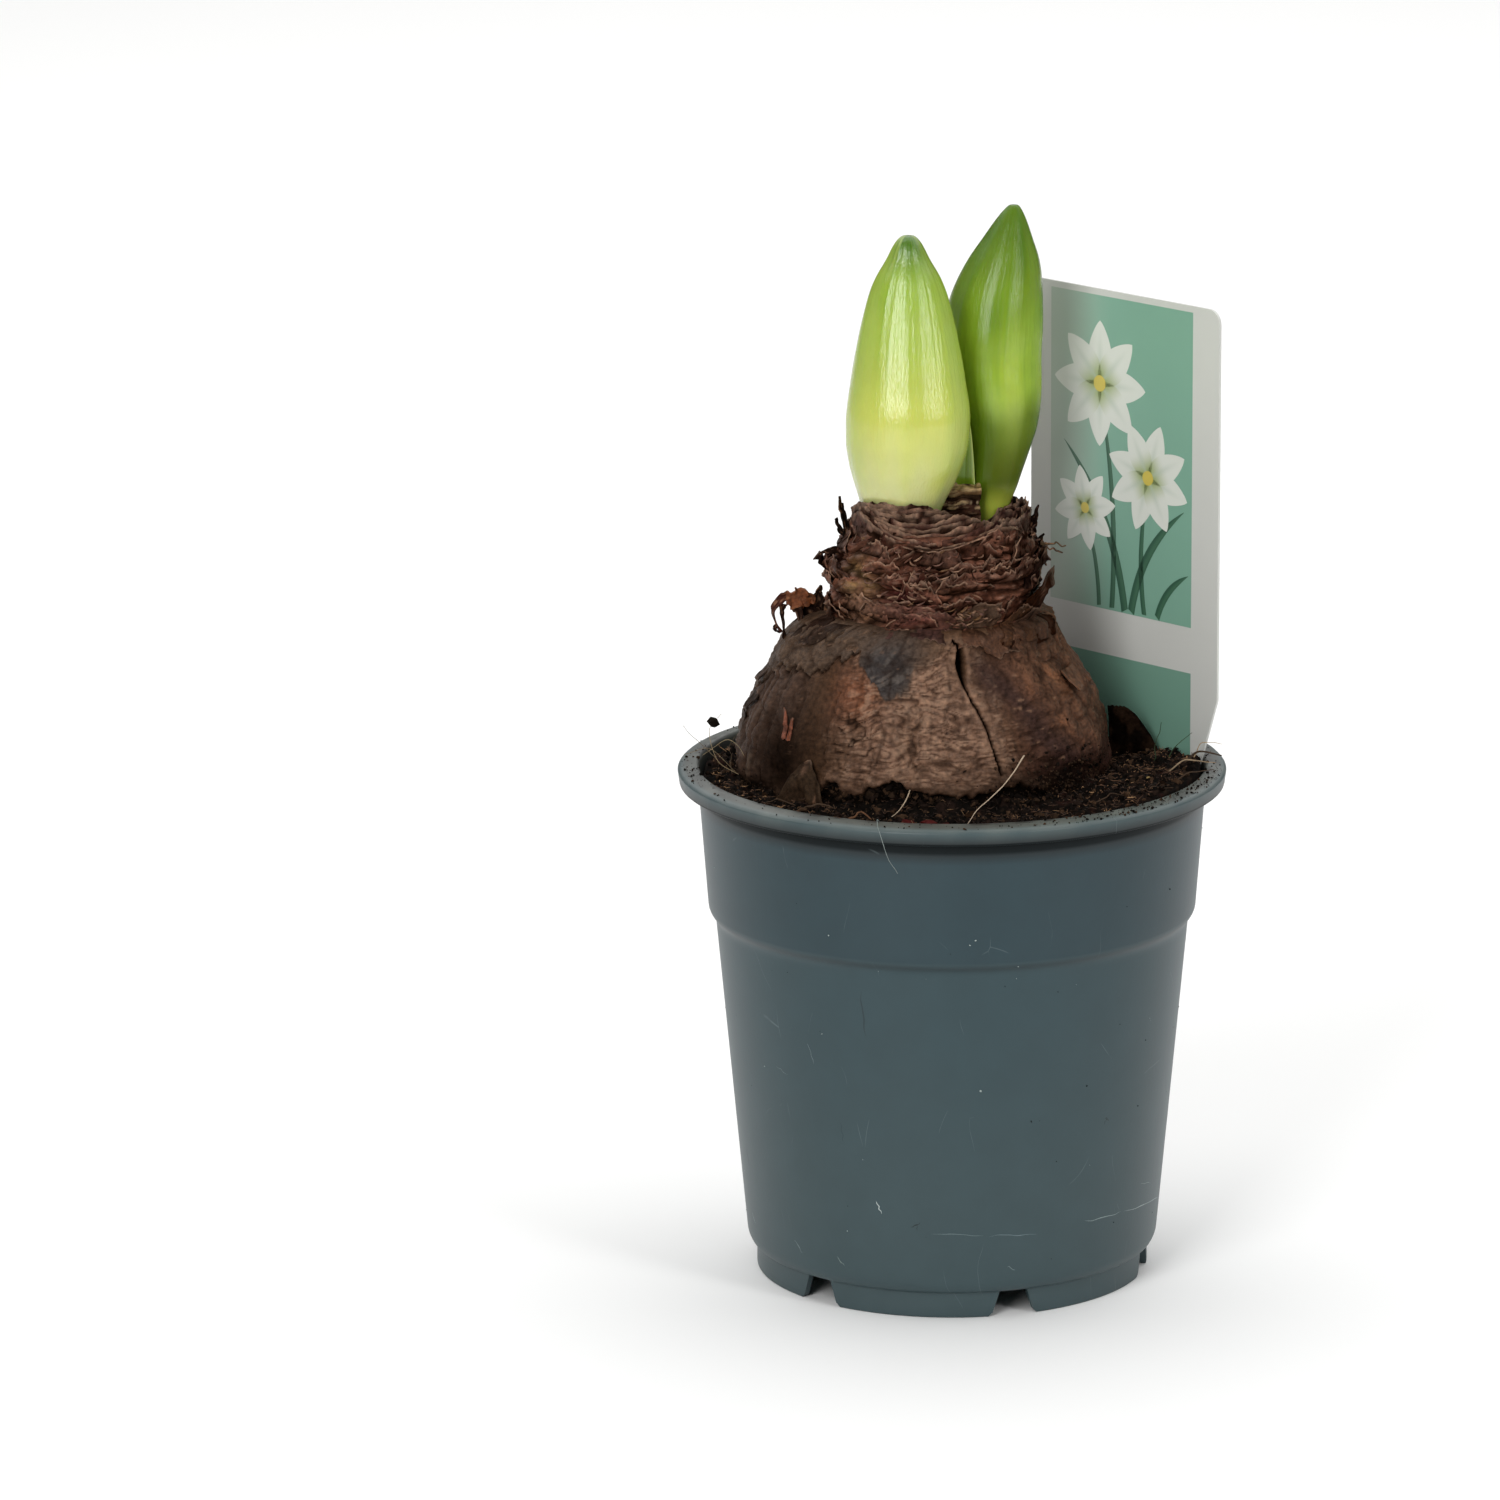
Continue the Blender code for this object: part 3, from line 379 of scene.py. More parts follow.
def grids(points, colours, around=False):
    """Patches from grids of points (grid, row, column, xyz): a face between each four neighbours.

    Rows that climb outside and columns that run round from the front towards +X face outwards.
    """
    count, rows, columns = points.shape[:3]
    index = np.arange(rows * columns).reshape(rows, columns)
    if around:
        index = np.concatenate([index, index[:, :1]], axis=1)
    faces = np.stack([index[:-1, :-1], index[:-1, 1:], index[1:, 1:], index[1:, :-1]], axis=-1)
    faces = faces.reshape(-1, 4)
    faces = (faces[None] + (np.arange(count) * rows * columns)[:, None, None]).reshape(-1, 4)
    return points.reshape(-1, 3), faces, np.broadcast_to(colours, points.shape).reshape(-1, 3)


def grid(points, colours, around=False):
    """One such patch."""
    return grids(points[None], np.broadcast_to(colours, points.shape)[None], around)


def tubes(paths, radii, colours, sides=5):
    """Round rods along paths (rod, point, xyz): a ring square to the path at each point, closed ends."""
    paths = np.concatenate([paths[:, :1], paths, paths[:, -1:]], axis=1)
    radii = np.pad(np.broadcast_to(radii, (len(paths), paths.shape[1] - 2)), ((0, 0), (1, 1)))
    colours = np.broadcast_to(colours, (len(paths), paths.shape[1] - 2, 3))
    colours = np.concatenate([colours[:, :1], colours, colours[:, -1:]], axis=1)
    runs = np.gradient(paths, axis=1)
    runs[:, 0], runs[:, -1] = runs[:, 1], runs[:, -2]
    runs = unit(runs)
    one_side = unit(np.cross(runs, np.array([0.31, 0.52, 0.795])))
    other_side = np.cross(runs, one_side)
    turn = np.arange(sides) / sides * math.tau
    ring = (one_side[:, :, None] * np.cos(turn)[:, None] + other_side[:, :, None] * np.sin(turn)[:, None])
    points = paths[:, :, None] + ring * radii[:, :, None, None]
    return grids(points, colours[:, :, None], around=True)


def blobs(draw, middles, sizes, colours):
    """Rough crumbs: twenty-sided balls, each corner pushed in or out and each ball squashed its own way."""
    golden = (1 + math.sqrt(5)) / 2
    corners = []
    for a in (-1, 1):
        for b in (-golden, golden):
            corners += [(0, a, b), (a, b, 0), (b, 0, a)]
    ball = np.array(corners) / math.hypot(1, golden)
    far = np.linalg.norm(ball[:, None] - ball[None], axis=-1)
    near = (far > 0.01) & (far < 1.1)
    faces = np.array([(i, j, k) for i in range(12) for j in range(i) for k in range(j)
                      if near[i, j] and near[j, k] and near[i, k]])
    facing = np.einsum("ij,ij->i", ball[faces[:, 0]], np.cross(ball[faces[:, 1]], ball[faces[:, 2]]))
    faces[facing < 0] = faces[facing < 0][:, ::-1]
    count = len(middles)
    squash = draw.uniform(0.45, 1.25, (count, 1, 3)) * sizes[:, None, None]
    pushed = ball[None] * draw.uniform(0.6, 1.2, (count, 12, 1))
    turn = np.linalg.qr(draw.normal(size=(count, 3, 3)))[0]
    turn *= np.sign(np.linalg.det(turn))[:, None, None]
    points = middles[:, None] + np.einsum("nij,nkj->nki", turn, pushed * squash)
    faces = (faces[None] + (np.arange(count) * 12)[:, None, None]).reshape(-1, 3)
    return points.reshape(-1, 3), faces, np.repeat(colours, 12, axis=0)


def build(name, patches, material, node, thickness=None, welded=False, sharp=None):
    """One piece from patches of points, faces and colours: millimetres become metres, over the ground."""
    points = np.concatenate([patch[0] for patch in patches]) / 1000
    offsets = np.cumsum([0] + [len(patch[0]) for patch in patches[:-1]])
    corners = np.concatenate([(patch[1] + offset).ravel() for patch, offset in zip(patches, offsets)])
    sizes = np.concatenate([np.full(len(patch[1]), patch[1].shape[1]) for patch in patches])
    colours = np.concatenate([patch[2] for patch in patches])
    mesh = bpy.data.meshes.new(name)
    mesh.vertices.add(len(points))
    mesh.vertices.foreach_set("co", points.ravel())
    mesh.loops.add(len(corners))
    mesh.loops.foreach_set("vertex_index", corners.astype(np.int32))
    mesh.polygons.add(len(sizes))
    mesh.polygons.foreach_set("loop_start", (np.cumsum(sizes) - sizes).astype(np.int32))
    mesh.update(calc_edges=True)
    tint = mesh.attributes.new("tint", "FLOAT_COLOR", "POINT")
    tint.data.foreach_set("color", np.concatenate([colours, np.ones((len(colours), 1))], axis=1).ravel())
    if welded:
        shape = bmesh.new()
        shape.from_mesh(mesh)
        bmesh.ops.remove_doubles(shape, verts=shape.verts, dist=1e-7)
        shape.to_mesh(mesh)
        shape.free()
    mesh.validate()
    mesh.shade_smooth()
    if sharp:
        mesh.set_sharp_from_angle(angle=math.radians(sharp))
    mesh.materials.append(material)
    piece = bpy.data.objects.new(name, mesh)
    bpy.context.scene.collection.objects.link(piece)
    if thickness:
        solid = piece.modifiers.new("Thickness", "SOLIDIFY")
        solid.thickness = thickness / 1000
        solid.offset = 0.0
    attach(piece, "root")
    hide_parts(node)
    return piece


def add(material, kind, wires=None, **settings):
    """Add one shader node: settings are its own values, wires its inputs, as numbers or other outputs."""
    made = material.node_tree.nodes.new("ShaderNode" + kind)
    for name, value in settings.items():
        setattr(made, name, value)
    for name, value in (wires or {}).items():
        if isinstance(value, bpy.types.NodeSocket):
            material.node_tree.links.new(value, made.inputs[name])
        else:
            made.inputs[name].default_value = value
    return made


def shader_of(material):
    """The material's own shader node."""
    return material.node_tree.nodes["Principled BSDF"]


def wire(material, output, into):
    """Wire one node's output into another's input."""
    material.node_tree.links.new(output, into)


def finish_of(name, roughness, ior, mottle, grain, relief, **more):
    """A material whose colour is the piece's own tint, mottled by noise, with fine relief.

    mottle is (size in mm, strength), grain is (size in mm, stretch on each axis) of the relief, and
    relief its depth in mm. more holds constants of the shader's own sockets.
    """
    material = bpy.data.materials.new(name)
    material.use_nodes = True
    shader = shader_of(material)
    place = add(material, "TexCoord").outputs["Object"]
    tint = add(material, "Attribute", attribute_name="tint").outputs["Color"]
    size, strength = mottle
    cloud = add(material, "TexNoise",
                {"Vector": place, "Scale": 1000 / size, "Detail": 4.0, "Roughness": 0.6})
    level = add(material, "MapRange", {"Value": cloud.outputs["Fac"], "From Min": 0.3, "From Max": 0.7,
                                       "To Min": 1 - strength, "To Max": 1 + strength})
    shade = add(material, "VectorMath", {0: tint, "Scale": level.outputs["Result"]}, operation="SCALE")
    wire(material, shade.outputs["Vector"], shader.inputs["Base Color"])
    if relief:
        size, stretch = grain
        stretched = add(material, "Mapping", {"Vector": place, "Scale": stretch})
        fine = add(material, "TexNoise", {"Vector": stretched.outputs["Vector"], "Scale": 1000 / size,
                                          "Detail": 3.0, "Roughness": 0.65})
        bump = add(material, "Bump", {"Height": fine.outputs["Fac"], "Distance": relief / 1000})
        wire(material, bump.outputs["Normal"], shader.inputs["Normal"])
    shader.inputs["Roughness"].default_value = roughness
    shader.inputs["IOR"].default_value = ior
    for socket, value in more.items():
        shader.inputs[socket].default_value = value
    return material


def scuffed(material, lines, patches, code, strength):
    """Thin pale scuffs: the edges of cells of a stretched, wavy pattern, only within patches of noise.

    lines is (cell size in mm, share of it that an edge is wide), patches (size in mm, noise level).
    """
    shader = shader_of(material)
    under = shader.inputs["Base Color"].links[0].from_socket
    place = add(material, "TexCoord").outputs["Object"]
    wave = add(material, "TexNoise", {"Vector": place, "Scale": 1000 / 30})
    bent = add(material, "VectorMath", {0: wave.outputs["Color"], 1: (0.02, 0.02, 0.02), 2: place},
               operation="MULTIPLY_ADD")
    slanted = add(material, "Mapping", {"Vector": bent.outputs["Vector"], "Rotation": (0.3, 0.2, 0.5),
                                        "Scale": (1.0, 1.0, 0.35)})
    cells = add(material, "TexVoronoi", {"Vector": slanted.outputs["Vector"], "Scale": 1000 / lines[0]},
                feature="DISTANCE_TO_EDGE")
    edge = add(material, "MapRange",
               {"Value": cells.outputs["Distance"], "From Min": lines[1], "From Max": 0.0})
    cloud = add(material, "TexNoise", {"Vector": place, "Scale": 1000 / patches[0], "Detail": 3.0})
    within = add(material, "MapRange", {"Value": cloud.outputs["Fac"], "From Min": patches[1],
                                        "From Max": patches[1] + 0.08, "To Max": strength})
    share = add(material, "Math", {0: edge.outputs["Result"], 1: within.outputs["Result"]},
                operation="MULTIPLY")
    blend = add(material, "Mix", {0: share.outputs["Value"], 6: under, 7: (*tone(code), 1)},
                data_type="RGBA")
    wire(material, blend.outputs[2], shader.inputs["Base Color"])


def dulled(material, black, full, gloss):
    """Gloss that grows in step with the tint's brightness: dirt and the bottoms of creases are matte.

    It is 0 up to the brightness black, and gloss from the brightness full on. Painted shade in
    creases and under the pot's rim is dark, so it is matte too.
    """
    tint = add(material, "Attribute", attribute_name="tint")
    level = add(material, "MapRange", {"Value": tint.outputs["Fac"], "From Min": black, "From Max": full,
                                       "To Max": gloss})
    wire(material, level.outputs["Result"], shader_of(material).inputs["Specular IOR Level"])


# Injection-moulded polypropylene: an even satin grey-blue, with the faintest orange peel
polypropylene = finish_of("moulded_polypropylene", 0.42, 1.44, (9.0, 0.05), (0.9, (1, 1, 1)), 0.015)
scuffed(polypropylene, (15.0, 0.005), (13.0, 0.58), "#7d8a8c", 0.32)
# gloss falls to nothing where the tint is near black, so the painted shadow under the rim stays matte
dulled(polypropylene, 0.001, 0.012, 0.5)
# Moist peat: crumbly and nearly black, with no shine
peat = finish_of("moist_peat", 0.92, 1.33, (0.8, 0.45), (0.35, (1, 1, 1)), 0.15,
                 **{"Specular IOR Level": 0.1})
# Dry bulb tunic: papery skin with fine fibres along its wrinkles and a low sheen on the crests
tunic = finish_of("papery_tunic", 0.44, 1.38, (1.0, 0.42), (0.45, (1, 1, 2.2)), 0.24)
dulled(tunic, 0.008, 0.09, 0.42)
# Torn dry scales: the same skin, thinner and more crinkled
dry_scale = finish_of("torn_dry_scale", 0.42, 1.38, (0.8, 0.5), (0.4, (0.6, 0.6, 3.0)), 0.22)
dulled(dry_scale, 0.008, 0.08, 0.45)
# Waxy bud spathe: smooth and faintly see-through, with a soft gloss
spathe = finish_of("waxy_spathe", 0.16, 1.50, (9.0, 0.05), (0.5, (1, 1, 0.12)), 0.12,
                   **{"Subsurface Weight": 0.12, "Subsurface Scale": 0.002, "Specular IOR Level": 0.85})
# The greener spathe and the young leaf: the same wax, thinner and duller
young_spathe = finish_of("young_green_spathe", 0.24, 1.50, (7.0, 0.07), (0.5, (1, 1, 0.12)), 0.08,
                         **{"Subsurface Weight": 0.12, "Subsurface Scale": 0.002})
dulled(young_spathe, 0.03, 0.20, 0.7)
# Polystyrene card: white and smooth, satin under its print
card = finish_of("polystyrene_card", 0.38, 1.55, (30.0, 0.02), (1.0, (1, 1, 1)), 0.0)
# Root and bark fibres: dry, matte and pale
fibre = finish_of("dry_fibre", 0.75, 1.45, (1.5, 0.15), (1.0, (1, 1, 1)), 0.0,
                  **{"Specular IOR Level": 0.25})


def on_bulb(outside, angle, height, out):
    """A place on the bulb: round its leaning middle at that height, at its radius there plus out."""
    radius = through(outside, height) + out
    flat = BULB_FLATTENED + (1 - BULB_FLATTENED) * step(36, 42, height)
    x = through(BULB_LEAN, height) + radius * np.sin(angle)
    y = through(BULB_BACK, height) - radius * flat * np.cos(angle)
    return joined(x, y, height + RIM)


def cut_drains(shell):
    """Cut a ring of round holes through the floor with cylinders, and drop the cylinders."""
    for number in range(DRAINS):
        turn = NOTCH_FIRST + (number + 0.5) / DRAINS * math.tau
        place = (DRAIN_CIRCLE / 1000 * math.sin(turn), -DRAIN_CIRCLE / 1000 * math.cos(turn), 0.0068)
        bpy.ops.mesh.primitive_cylinder_add(vertices=DRAIN_SIDES, radius=DRAIN_RADIUS / 1000,
                                            depth=0.004, location=place)
        cutter = bpy.context.object
        hole = shell.modifiers.new("Drain", "BOOLEAN")
        hole.operation = "DIFFERENCE"
        hole.object = cutter
        cut = bpy.data.meshes.new_from_object(shell.evaluated_get(bpy.context.evaluated_depsgraph_get()))
        shell.modifiers.clear()
        shell.data = cut
        bpy.data.objects.remove(cutter)


def make_pot():
    """The pot's profile turned round, its foot ring lifted to the notches' roof where they are.

    The colours are masks of height and radius: body, collar, crease, rim, foot and under the rim.
    The body pales towards the foot as a painted reflection of the floor, the collar is darkened as
    painted shade, the crease and the band under the rim are painted shadow, and the rim's top is
    paled by dust and a painted highlight.
    """
    profile = rounded(POT_PROFILE, 4)
    profile = np.concatenate([profile, profile[:1]])
    gap = np.hypot(*np.diff(profile, axis=0).T)
    outside = np.diff(profile[:, 1]) > 0
    parts = np.ceil(gap / np.where(outside, POT_STEP_OUTSIDE, POT_STEP_INSIDE)).astype(int)
    fine = np.concatenate([i + np.arange(count) / count for i, count in enumerate(parts)] + [[len(gap)]])
    corners = np.arange(len(profile))
    profile = np.stack([np.interp(fine, corners, profile[:, axis]) for axis in (0, 1)], axis=1)
    even = np.arange(POT_SIDES) / POT_SIDES * math.tau
    notch_turns = NOTCH_FIRST + np.arange(NOTCHES) / NOTCHES * math.tau
    offsets = np.array([side * way for side in (*NOTCH_SIDES[1:], 3.0) for way in (-1, 1)]) / FOOT_RADIUS
    turns = np.unique(np.concatenate([even, (notch_turns[:, None] + offsets).ravel() % math.tau]))
    radius, height = profile[:, :1] + 0 * turns, profile[:, 1:] + 0 * turns
    from_notch = (turns - NOTCH_FIRST + math.pi / NOTCHES) % (math.tau / NOTCHES) - math.pi / NOTCHES
    roof = np.interp(np.abs(from_notch) * FOOT_RADIUS, NOTCH_SIDES, NOTCH_HEIGHTS)
    on_foot = (radius > FOOT_INNER - 0.05) & (radius < FOOT_RADIUS + 0.05) & (height < NOTCH_HEIGHTS[0])
    height = np.where(on_foot, np.maximum(height, roof), height)
    points = turned(radius, turns, height)
    on_body = (radius < 53.4) & (height > FOOT_TOP)
    on_collar = (radius < 58.7) * (height > COLLAR_FOOT)
    # the shoulder's crease, darkened as painted shade
    crease = bell(height, SHOULDER, 0.8) * (radius < 54.0) * (radius > 52.0)
    cloudy = layered(3, 2, points[..., 0] / 5, points[..., 1] / 5)
    # rim top paler: a film of dust, with a painted highlight from the light above
    dust_and_highlight = step(111.4, 113.4, height) * (0.30 + 0.12 * cloudy)
    on_foot_ring = (height < FOOT_TOP) * (radius > 42.0)
    # under the rim's lip, which is painted near black as shade
    under_side = (height > RIM_UNDERSIDE[0]) * (height < RIM_UNDERSIDE[1])
    under_side = under_side * (radius > 56.0) * (radius < 59.7)
    dirty = step(113.0, 113.8, height) * (radius < 57.0) * step(-0.1, 0.7, noise(7, turns * 24, radius / 2))
    colours = toned(
        plain("#23393f", height),
        # body paler and greyer towards the foot: painted reflection of the floor
        "#5a6462", on_body * (0.05 + 0.12 * step(80, 10, height)),
        # collar darker than the body: painted shade
        "#1b2f36", on_collar * 0.5,
        # dark band on the collar just under the lip: painted shadow of the lip
        "#020404", step(104.2, 107.8, height) * on_collar * 0.93,
        # the shoulder's crease darkened: painted shade
        "#141f22", crease * 0.55,
        # rim top paler: dust, with a painted highlight
        "#7c8078", dust_and_highlight,
        "#5a6462", on_foot_ring * 0.22,
        # underside of the lip near black: painted shade
        "#020404", under_side * 0.9,
        "#171410", dirty * 0.7,
    )
    shell = build("pot_shell", [grid(points, colours, around=True)], polypropylene, "pot",
                  welded=True, sharp=38)
    cut_drains(shell)
    return shell


def on_wall(turn, height, proud):
    """A place on the pot's outer wall, proud of it, at an angle in degrees and a height over the ground."""
    wall = sorted((level, radius) for radius, level, _ in POT_PROFILE[5:11])
    radius = broken(wall, height) + proud
    return turned(radius, np.radians(turn), height)


# Marks on the pot: angle and height at each end, width and colour
POT_MARKS = (
    (38.3, 19.8, 52.8, 19.4, 0.20, "#7d8b8a"), (54, 19.2, 80.6, 16.8, 0.24, "#8a9796"),
    (-5.5, 20, 8.6, 19.4, 0.16, "#5f6e70"), (10, 19.3, 23.4, 18.9, 0.16, "#66757a"),
    (-22.4, 74.9, -21.5, 64.1, 0.35, "#1d2c30"), (-38.3, 60.8, -37, 56.2, 0.16, "#6b797a"),
    (-20.4, 26.7, -19, 23.8, 0.26, "#aab4b2"), (-11.1, 21.3, -8.3, 22.4, 0.32, "#172124"),
    (-9.4, 20.6, -9, 21.9, 0.22, "#1b2629"), (43.3, 42.9, 44.6, 42, 0.34, "#16201f"),
    (43, 41.4, 43.8, 42.9, 0.24, "#1b2629"), (76.2, 57, 79.5, 55.6, 0.30, "#141d20"),
    (-72.6, 29.5, -71.8, 26, 0.30, "#1b2629"), (-29.6, 44, -29.2, 39, 0.20, "#22343a"),
    (-50.4, 53.3, -46, 52.4, 0.14, "#60706f"), (-73.6, 14.8, -71, 12.6, 0.24, "#7d8b8a"),
    (-48.7, 13.6, -45.5, 11.2, 0.20, "#6d7c7c"), (-33, 12.6, -31, 10.4, 0.18, "#75847f"),
    (62, 24, 69, 22.6, 0.14, "#6d7c7c"), (15.2, 12, 17.6, 11, 0.18, "#6d7c7c"),
)


def make_pot_marks():
    """Rubbed and dirty marks on the pot: low ridges along a line on its wall that taper to both ends.

    Each ridge is a strip whose middle stands proud and whose sides dip just under the wall.
    """
    share = np.linspace(0, 1, 18)[:, None]
    side = np.linspace(-1, 1, 3)[None]
    patches = []
    for number, (turn, low, end_turn, high, wide, code) in enumerate(POT_MARKS):
        run = np.array([math.radians(end_turn - turn) * WALL_RADIUS, high - low])
        across = np.array([-run[1], run[0]]) / np.hypot(*run)
        half = wide / 2 * (4 * share * (1 - share)) ** 0.6 * (1 + 0.4 * noise(601 + number, share * 8))
        drift = 0.25 * noise(631 + number, share * 5)
        aside = side * half + drift
        mark_turn = turn + (end_turn - turn) * share + np.degrees(aside * across[0] / WALL_RADIUS)
        height = low + (high - low) * share + aside * across[1]
        points = on_wall(mark_turn, height, 0.02 - 0.03 * np.abs(side) + 0 * share)
        patch = grid(points, tone(code))
        over, along = points[9, 2] - points[9, 0], points[10, 1] - points[9, 1]
        facing = np.cross(over, along) @ (points[9, 1] * (1, 1, 0))
        patches.append(patch if facing > 0 else (patch[0], patch[1][:, ::-1], patch[2]))
    return build("pot_marks", patches, polypropylene, "pot")


def soil_level(x, y):
    """Height of the peat: a mean level, clods and crumbs of five sizes, and two mounds.

    One mound rises up to the card and one, a bell curve of the distance to the bulb, lies against it.
    """
    angle = np.arctan2(x, -y)
    mound = bell(angle, math.radians(85), math.radians(38)) * np.clip(np.hypot(x, y) / 46.5, 0, 1)
    from_bulb = np.hypot(x - BULB_LEAN[0][1], (y - BULB_BACK[0][1]) / BULB_FLATTENED) - BANK_RADIUS
    bank = bell(from_bulb, 0, 3.4) * (2.6 + 1.4 * noise(20, x / 5, y / 5)) * bell(angle, 0, 0.9)
    lumps = sum(high * noise(21 + k, x / wide, y / wide) for k, (wide, high) in enumerate(PEAT_LUMPS))
    return SOIL_TOP + lumps + 2.6 * mound + bank


def peat_colour(points):
    """Nearly black peat with browner clods and ashy dry crumbs."""
    x, y, z = np.moveaxis(points, -1, 0)
    return toned(
        plain("#0a0705", x),
        "#1a110d", step(0.0, 0.7, layered(31, 2, x / 2.2, y / 2.2, z / 2.2)),
        "#2a130e", step(0.3, 0.8, noise(32, x / 3, y / 3, z / 3)) * 0.5,
        "#2f241b", step(0.35, 0.8, noise(33, x / 0.9, y / 0.9, z / 0.9)) * 0.45,
    )


def make_soil():
    """The peat as one closed skin: floor, wall, lumpy top, then the bulb's bed down to its middle."""
    turns = np.arange(SOIL_SIDES) / SOIL_SIDES * math.tau
    across, away = np.sin(turns), -np.cos(turns)
    wall_radius = np.array([0.0, 12.0, 24.0, 36.0, 42.0, 43.9, 50.5, 51.2, 52.2, 54.0, POT_INSIDE])
    wall_height = np.array([0.0, 0.0, 0.0, 0.0, 0.0, 1.8, 70.4, 72.6, 75.3, 99.0, 103.0]) + SOIL_FLOOR
    wall = turned(wall_radius[:, None], turns, wall_height[:, None])
    inward = np.linspace(0, 1, SOIL_RINGS)[:, None]
    bed_x, bed_y = BULB_LEAN[0][1], BULB_BACK[0][1]
    inner_x, inner_y = bed_x + BED_RADIUS * across, bed_y + BED_RADIUS * BULB_FLATTENED * away
    x = POT_INSIDE * across * (1 - inward) + inner_x * inward
    y = POT_INSIDE * away * (1 - inward) + inner_y * inward
    top = joined(x, y, soil_level(x, y))
    bed_share = np.array([0.97, 0.9, 0.7, 0.45, 0.2, 0.0])[:, None]
    bed_height = np.array([-8.0, -16.0, -28.0, -34.0, -36.5, -36.5])[:, None] + 0 * turns
    bed = joined(bed_x + (inner_x - bed_x) * bed_share, bed_y + (inner_y - bed_y) * bed_share, bed_height)
    points = np.concatenate([wall, top, bed])
    colours = peat_colour(points)
    points[..., 2] += RIM
    return build("peat", [grid(points, colours, around=True)], peat, "soil", welded=True)


def soil_spots(draw, count, edge=0.6):
    """Random places on the open peat, from clear of the bulb to that edge from the pot's wall."""
    turns = np.radians(draw.uniform(-180, 180, count * 4))
    radius = POT_INSIDE * np.sqrt(draw.uniform(0.3, 1, count * 4)) - edge
    x, y = radius * np.sin(turns), -radius * np.cos(turns)
    clear = np.hypot(x - BULB_LEAN[0][1], (y - BULB_BACK[0][1]) / BULB_FLATTENED) > CLEAR_RADIUS
    return x[clear][:count], y[clear][:count]


def make_crumbs():
    """Loose crumbs of peat: on the soil, the pot's rim and wall, the skin's foot, and one on a hair.

    Their sizes are a power of an even random share, so that there are fewer and fewer the larger.
    """
    draw = np.random.default_rng(41)
    shades = tones("#0c0806", "#140e0a", "#1e1510", "#2d2118", "#3a2a1e", "#100b08")
    x, y = soil_spots(draw, CRUMBS)
    sizes = 0.22 + 0.85 * draw.uniform(0, 1, len(x)) ** 4
    middles = joined(x, y, RIM + soil_level(x, y) + sizes * 0.3)
    crumbs = blobs(draw, middles, sizes, shades[draw.integers(0, len(shades), len(x))])
    right, round_about, left = DUST_ON_RIM
    spots = np.concatenate([draw.normal(52, 20, right), draw.uniform(-180, 180, round_about),
                            draw.normal(-78, 14, left)])
    turns = np.radians(spots)
    radius = draw.uniform(55.4, 59.3, len(turns))
    level = np.interp(radius, (55.2, 55.8, 57.4, 59.4), (113.3, 113.9, 113.7, 113.25))
    rim_sizes = 0.09 + 0.32 * draw.uniform(0, 1, len(turns)) ** 4
    middles = turned(radius, turns, level + rim_sizes * 0.3)
    on_rim = blobs(draw, middles, rim_sizes, shades[draw.integers(0, len(shades), len(turns))])
    stuck, foot, under_skin = DUST_ON_SKIN
    turn = np.concatenate([draw.normal(47, 15, stuck), draw.uniform(-75, 75, foot),
                           draw.uniform(-36, 12, under_skin)])
    height = np.concatenate([np.abs(draw.normal(0, 4.6, stuck)) - 1,
                             np.abs(draw.normal(0, 1.6, foot)) - 1.5,
                             draw.uniform(-1.5, 5.0, under_skin)])
    below = slice(stuck + foot, None)
    height[below] = np.minimum(height[below], broken(SKIN_FOOT, turn[below]) - 0.4)
    angle = np.radians(turn)
    dust_sizes = 0.12 + 0.45 * draw.uniform(0, 1, len(turn)) ** 3
    dust_sizes[below] *= 1.9
    on_skin = on_bulb(BODY_OUTSIDE, angle, height, body_relief(angle, height)[0] + 0.1)
    dust = blobs(draw, on_skin, dust_sizes, shades[draw.integers(0, 5, len(turn))])
    wall_height = draw.uniform(10, 108, DUST_ON_WALL)
    on_pot = on_wall(draw.uniform(-180, 180, DUST_ON_WALL), wall_height, 0.02)
    specks = blobs(draw, on_pot, 0.09 + 0.2 * draw.uniform(0, 1, DUST_ON_WALL) ** 3,
                   tones("#15120f", "#9aa5a2")[draw.integers(0, 2, DUST_ON_WALL)])
    hung = blobs(draw, np.array([[-52.0, -6.4, RIM + 10.9]]), np.array([1.5]), tone("#15100c")[None])
    return build("peat_crumbs", [crumbs, on_rim, dust, specks, hung], peat, "soil", sharp=30)


# Chips placed one by one: x, y, size and colour
KNOWN_CHIPS = (
    (-9.5, -47.6, 3.6, "#3c1210"), (-5, -48.2, 3.2, "#471614"), (-1.2, -47.4, 2.2, "#32100e"),
    (-24.4, -43.6, 1.1, "#8a4520"), (-23.6, -44.8, 0.8, "#6e3c20"), (-37.4, -34.8, 1.2, "#7d6848"),
    (-35.6, -36.4, 0.9, "#5e4a30"), (-39, -32.6, 0.9, "#6b5a3a"), (40.6, -18.6, 1.2, "#6e5c34"),
    (38.4, -20.2, 0.9, "#574727"), (42.6, -16.4, 0.8, "#8a7448"),
)


